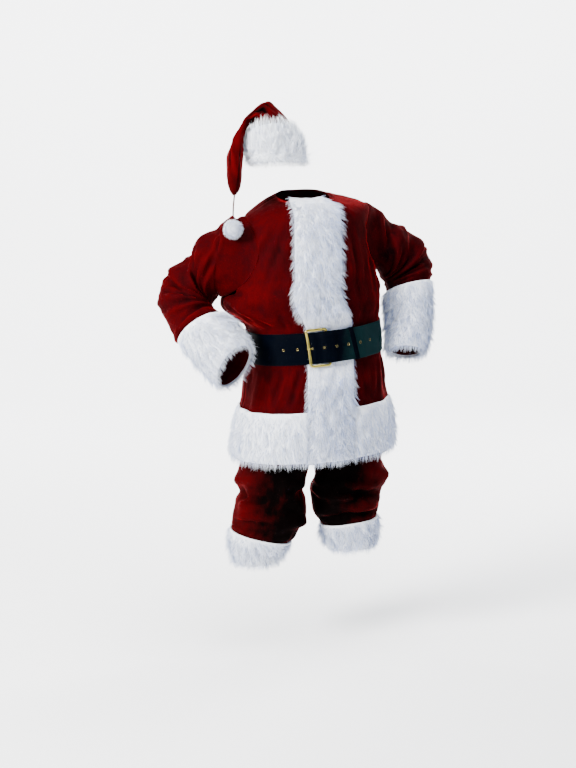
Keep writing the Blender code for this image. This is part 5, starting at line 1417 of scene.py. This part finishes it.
def makePompom():
    lat = np.linspace(0.04, math.pi - 0.04, pompom["rings"])[:, None]
    lon = (allRound * np.arange(pompom["sides"]) / pompom["sides"])[None, :]
    ball = np.stack(np.broadcast_arrays(np.sin(lat) * np.cos(lon), np.sin(lat) * np.sin(lon),
                                        np.cos(lat)), axis=-1)
    poles = np.array([[0, 0, 1.0], [0, 0, -1.0]])
    points, faces = closedRings(*(np.array(pompom["middle"]) + pompom["core"] * q
                                  for q in (ball, poles)))
    core = addPiece("pompomCore", points, faces, furBacking)
    plain = np.ones(len(points))
    growFur("pompomPile", core, np.tile([0.05, 0.0, -0.25], (len(points), 1)), plain, plain,
            density=560000.0, length=0.0115, rise=1.5, tuftPull=0.6, tuftSize=0.010, stray=0.45)
    readFor(core, "white_fur", "hat_pompom")
    points, faces = rodAlong(pompom["tie"], pompom["tieRadius"], 12)
    readFor(addPiece("pompomTie", points, faces, hatVelvet), "velvet", "pompom_tie")


makePompom()
print("hat, brim and pompom made")


belt = {"thick": 0.0026, "edge": 0.0009, "radius": 0.190, "lean": -37.0, "leanAt": -12.4,
        "leanOver": 20, "flat": (1.62, 0.10), "step": 0.0036}
buckle = {"left": -21.5, "heel": -3.3, "high": 0.0575, "corner": 0.0065, "out": 0.0112,
          "halfWide": 0.0042, "halfThick": 0.0022, "boxiness": 2.8, "sides": 16}
# paths: degrees round from the front, millimetres off the cloth
strapStart = (
    (9, 7.3), (4, 7.3), (0, 7.3), (-3.3, 7.3), (-4.3, 7.5), (-5.2, 8.8), (-5.6, 11.2),
    (-5.2, 13.7), (-4.3, 14.9), (-3.3, 15.1), (0, 15.1), (3, 14.0), (6.5, 10.9), (9.5, 10.3),
    (13, 10.2), (18, 10.2), (22, 10.2), (26, 10.2), (30, 10.1), (34, 8.0), (38, 4.6), (42, 2.8),
)
strapRound = tuple((angle, 2.5) for angle in range(48, 318, 6))
strapEnd = (
    (318, 2.5), (325, 3.0), (331, 5.2), (334.5, 7.1), (336.5, 7.3), (338.5, 7.3),
    (339.9, 7.4), (341.4, 9.0), (342.7, 10.4), (347, 10.6), (350.5, 12.8), (353.5, 17.0),
    (356, 18.5), (360, 18.5), (363, 17.5), (366.5, 14.2), (369.5, 13.5), (373, 13.3),
    (378, 13.3), (382, 13.3), (386, 13.3), (390, 13.2), (394, 11.1), (398, 7.8), (402, 6.0),
    (408, 5.8), (414, 5.8), (419, 5.8), (422.5, 5.8), (424.5, 5.8),
)
tipKnots, tipShares = (402, 408, 414, 419, 422.5, 424.5), (1.0, 1.0, 1.0, 0.93, 0.74, 0.45)
prongPath = (
    (-4.0, 7.0), (-2.2, 7.2), (-1.45, 9.0), (-1.45, 13.2), (-2.4, 15.1),
    (-4.2, 15.1), (-5.4, 13.2), (-6.3, 10.2), (-8.0, 8.0), (-11.0, 7.0), (-15.4, 7.0),
    (-17.1, 7.1), (-18.0, 8.2), (-18.2, 10.6), (-18.4, 13.4), (-19.4, 15.2),
    (-21.6, 15.6), (-23.4, 15.0),
)
prongKnots, prongRadii = (0, 9, 14, 17), (0.00135, 0.00135, 0.0013, 0.0009)
keeper = {"at": 22.4, "lean": -60.0, "half": 0.0075, "high": 0.0517, "near": 0.00745,
          "far": 0.01585, "thick": 0.0017, "corner": 0.0022, "flat": (0.226, 0.015)}
eyelets = {"angles": (-43.5, -31.5, -18.2, -7.5, 4.5, 16.5, 28.5, 40.5), "hole": 0.0028,
           "inner": 0.0027, "outer": 0.0044, "tall": 0.0011, "raised": 0.0004,
           "cut": 0.0022}
slot = {"half": 0.0032, "outline": ((-6.4, 0.0052), (0.6, 0.0052), (0.6, 0.0166),
                                    (-4.4, 0.0166), (-6.4, 0.0150))}


def beltPoints(degrees, up, out):
    # round the body, above the belt's middle line, off the cloth
    degrees, up, out = np.broadcast_arrays(*(np.asarray(q, float) for q in (degrees, up, out)))
    away = halfRound(degrees) - belt["leanAt"]
    angle = np.radians(degrees + belt["lean"] * up * np.exp(-(away / belt["leanOver"]) ** 2))
    held = np.clip(up, -beltHalf, beltHalf)
    p = coatPoints(angle, beltMiddle + held)
    p[..., 2] += up - held
    a, b = (coatPoints(angle + turn, beltMiddle) for turn in (-0.03, 0.03))
    side = unit(b - a)
    normal = unit(np.stack([side[..., 1], -side[..., 0], np.zeros(side.shape[:-1])], axis=-1))
    return p + normal * out[..., None]


def placeOnBelt(degrees, up, out):
    # the middle and the three directions of a place on the belt
    p = beltPoints(degrees, up, out)
    x = unit(beltPoints(degrees + 0.5, up, out) - beltPoints(degrees - 0.5, up, out))
    z = unit(beltPoints(degrees, up, out + 0.001) - p)
    return p, x, np.cross(z, x), z


def loopFaces(rings, sides):
    # rings that close into a loop
    i, k = np.meshgrid(np.arange(rings), np.arange(sides), indexing="ij")
    a, b = i * sides + k, i * sides + (k + 1) % sides
    c, d = (i + 1) % rings * sides + (k + 1) % sides, (i + 1) % rings * sides + k
    return np.stack([a, b, c, d], axis=-1).reshape(-1, 4)


def roundedLoop(left, right, low, high, corner, arcPoints, spacing):
    # a box line with round corners: its two places and the two parts of its outward way
    line = []
    for x, z, start in ((right - corner, high - corner, 0), (left + corner, high - corner, 90),
                        (left + corner, low + corner, 180), (right - corner, low + corner, 270)):
        for t in np.radians(start + np.linspace(0, 90, arcPoints)):
            line.append((x + corner * math.cos(t), z + corner * math.sin(t),
                         math.cos(t), math.sin(t)))
    full = []
    for k, place in enumerate(line):
        after = line[(k + 1) % len(line)]
        steps = 1 + int(math.dist(place[:2], after[:2]) / spacing)
        for j in range(steps):
            full.append([a + (b - a) * j / steps for a, b in zip(place, after)])
    full = np.array(full)
    full[:, 2:] = unit(full[:, 2:])
    return np.split(full, 4, axis=1)


def strapProfile():
    # heights and thicknesses round the edge of the leather
    thick, half, edge = belt["thick"] / 2, beltHalf, belt["edge"]
    t = np.linspace(0, math.pi / 2, 4)
    corner = np.stack([(half - edge + edge * np.sin(t)), thick - edge + edge * np.cos(t)], axis=1)
    face = np.stack([np.linspace(-half + edge, half - edge, 15)[1:-1], np.full(13, thick)],
                    axis=1)
    top = np.concatenate([corner[::-1] * (-1, 1), face, corner])
    return np.concatenate([top, top[::-1] * (1, -1)])


def makeStrap():
    path = np.array(strapStart + strapRound + strapEnd, float)
    flatLine = np.stack([np.radians(path[:, 0]) * belt["radius"], path[:, 1] / 1000], axis=1)
    gap = np.hypot(*np.diff(flatLine, axis=0).T)
    run = np.concatenate([[0], np.cumsum(gap)])
    steps = [np.linspace(a, b, max(2, int((b - a) / belt["step"]) + 1))[:-1]
             for a, b in zip(run[:-1], run[1:])]
    at = np.concatenate(steps + [run[-1:]])
    line = alongRows(run, flatLine, at)
    way = unit(np.gradient(line, axis=0))
    off = np.stack([-way[:, 1], way[:, 0]], axis=1)
    degrees = np.degrees(line[:, 0] / belt["radius"])
    late = at > run[len(strapStart) + len(strapRound)]
    share = np.where(late, np.interp(degrees, tipKnots, tipShares), 1.0)
    profile = strapProfile()
    up = profile[None, :, 0] * share[:, None]
    place = line[:, None] + off[:, None] * profile[None, :, 1:]
    points = beltPoints(np.degrees(place[..., 0] / belt["radius"]), up, place[..., 1])
    rings, sides = points.shape[:2]
    k = np.arange(sides // 2 - 1)
    caps = np.stack([k, k + 1, sides - 2 - k, sides - 1 - k], axis=1)
    strap = addPiece("beltStrap", points.reshape(-1, 3),
                     [skinFaces(rings, sides, 0, True, False), caps[:, ::-1],
                      caps + (rings - 1) * sides], beltLeather)
    # the eyelets' holes and the prong's slot are cut through it
    over = np.array(strapEnd, float)
    tools = []
    for k, degrees in enumerate(eyelets["angles"]):
        high = [np.interp(degrees + 360 + d, over[:, 0], over[:, 1]) / 1000 for d in (-1, 0, 1)]
        p, x, y, z = placeOnBelt(degrees, 0.0, high[1])
        x = unit(beltPoints(degrees + 1, 0, high[2]) - beltPoints(degrees - 1, 0, high[0]))
        z = np.cross(x, y)
        tools.append(holeTool(p, x, y, z))
        makeEyelet(k + 1, p, x, y, z)
    tools.append(slotTool())
    for tool in tools:
        cut = strap.modifiers.new(tool.name, "BOOLEAN")
        cut.operation, cut.solver, cut.object = "DIFFERENCE", "EXACT", tool
    mesh = evaluatedMesh(strap)
    strap.modifiers.clear()
    strap.data = mesh
    for tool in tools:
        bpy.data.objects.remove(tool)
    mesh.materials.clear()
    mesh.materials.append(beltLeather)
    mesh.shade_smooth()
    mesh.set_sharp_from_angle(angle=math.radians(40))
    readFor(strap, "belt_leather", "belt_strap")
    print("belt strap", round(areaOf(strap) / 2, 4))


def slotTool():
    # cuts the strap's fold where the prong passes
    places = np.array([(d, u, h) for d, h in slot["outline"]
                       for u in (-slot["half"], slot["half"])])
    k = np.arange(len(slot["outline"]))
    j = (k + 1) % len(k)
    return addPiece("slot", beltPoints(*places.T),
                    [2 * k[None, :], 2 * k[None, ::-1] + 1,
                     np.stack([2 * k, 2 * k + 1, 2 * j + 1, 2 * j], axis=1)], None)


def holeTool(p, x, y, z):
    n = 28
    turn = allRound * np.arange(n) / n
    rim = p + eyelets["hole"] * (np.cos(turn)[:, None] * x + np.sin(turn)[:, None] * y)
    points = np.concatenate([rim - z * eyelets["cut"], rim + z * eyelets["cut"]])
    k = np.arange(n)
    j = (k + 1) % n
    return addPiece("hole", points, [k[None, ::-1], (k + n)[None, :],
                                     np.stack([k, j, n + j, n + k], axis=1)], None)


def makeEyelet(number, p, x, y, z):
    n, m = 36, 10
    turn = allRound * np.arange(n)[:, None] / n
    lap = allRound * np.arange(m)[None, :] / m
    inner, outer = eyelets["inner"], eyelets["outer"]
    r = (inner + outer) / 2 + (outer - inner) / 2 * np.cos(lap)
    h = (belt["thick"] / 2 + eyelets["raised"]
         + eyelets["tall"] * np.maximum(np.sin(lap), -0.15))
    points = (p + (r * np.cos(turn))[..., None] * x + (r * np.sin(turn))[..., None] * y
              + np.broadcast_to(h, r.shape)[..., None] * z)
    piece = addPiece("eyelet%d" % number, points.reshape(-1, 3), loopFaces(n, m), dullBrass)
    readFor(piece, "brass", "belt_eyelet_%d" % number)


def makeBuckle():
    left, right = (math.radians(buckle[k]) * belt["radius"] for k in ("left", "heel"))
    x, z, wayX, wayZ = roundedLoop(left, right, -buckle["high"], buckle["high"],
                                   buckle["corner"], 9, 0.006)
    turn = allRound * np.arange(buckle["sides"]) / buckle["sides"]
    c, s = np.cos(turn), np.sin(turn)
    r = boxyRadius(c, s, buckle["halfWide"], buckle["halfThick"], buckle["boxiness"])
    side, tall = (r * c)[None, :], (r * s)[None, :]
    points = beltPoints(np.degrees((x + wayX * side) / belt["radius"]), z + wayZ * side,
                        buckle["out"] + tall)
    readFor(addPiece("buckle", points.reshape(-1, 3), loopFaces(len(x), len(turn)), brass),
            "brass", "belt_buckle")
    path = beltPoints(*np.array([(d, 0.0, h / 1000) for d, h in prongPath]).T)
    radius = np.interp(np.arange(len(path)), prongKnots, prongRadii)
    points, faces = rodAlong(path, radius, 14)
    readFor(addPiece("prong", points, faces, brass), "brass", "belt_prong")


def makeKeeper():
    k = keeper
    x, z, wayX, wayZ = roundedLoop(-k["high"], k["high"], k["near"], k["far"], k["corner"],
                                   7, 0.005)
    edge = k["thick"] / 2
    t = np.linspace(-math.pi / 2, math.pi / 2, 7)
    cap = np.stack([k["half"] - edge + edge * np.cos(t), edge * np.sin(t)], axis=1)
    middle = np.array([[0.3, 1.0], [-0.3, 1.0]]) * (k["half"], edge)
    section = np.concatenate([cap, middle, -cap, -middle])
    across, off = section[None, :, 0], section[None, :, 1]
    up = x + wayX * off
    degrees = k["at"] + np.degrees(across / belt["radius"]) + k["lean"] * up
    piece = addPiece("keeper", beltPoints(degrees, up, z + wayZ * off).reshape(-1, 3),
                     loopFaces(len(x), len(section)), keeperLeather)
    readFor(piece, "belt_leather", "belt_keeper")
    print("keeper", round(areaOf(piece) / 2, 5))


makeStrap()
makeBuckle()
makeKeeper()
print("belt made")
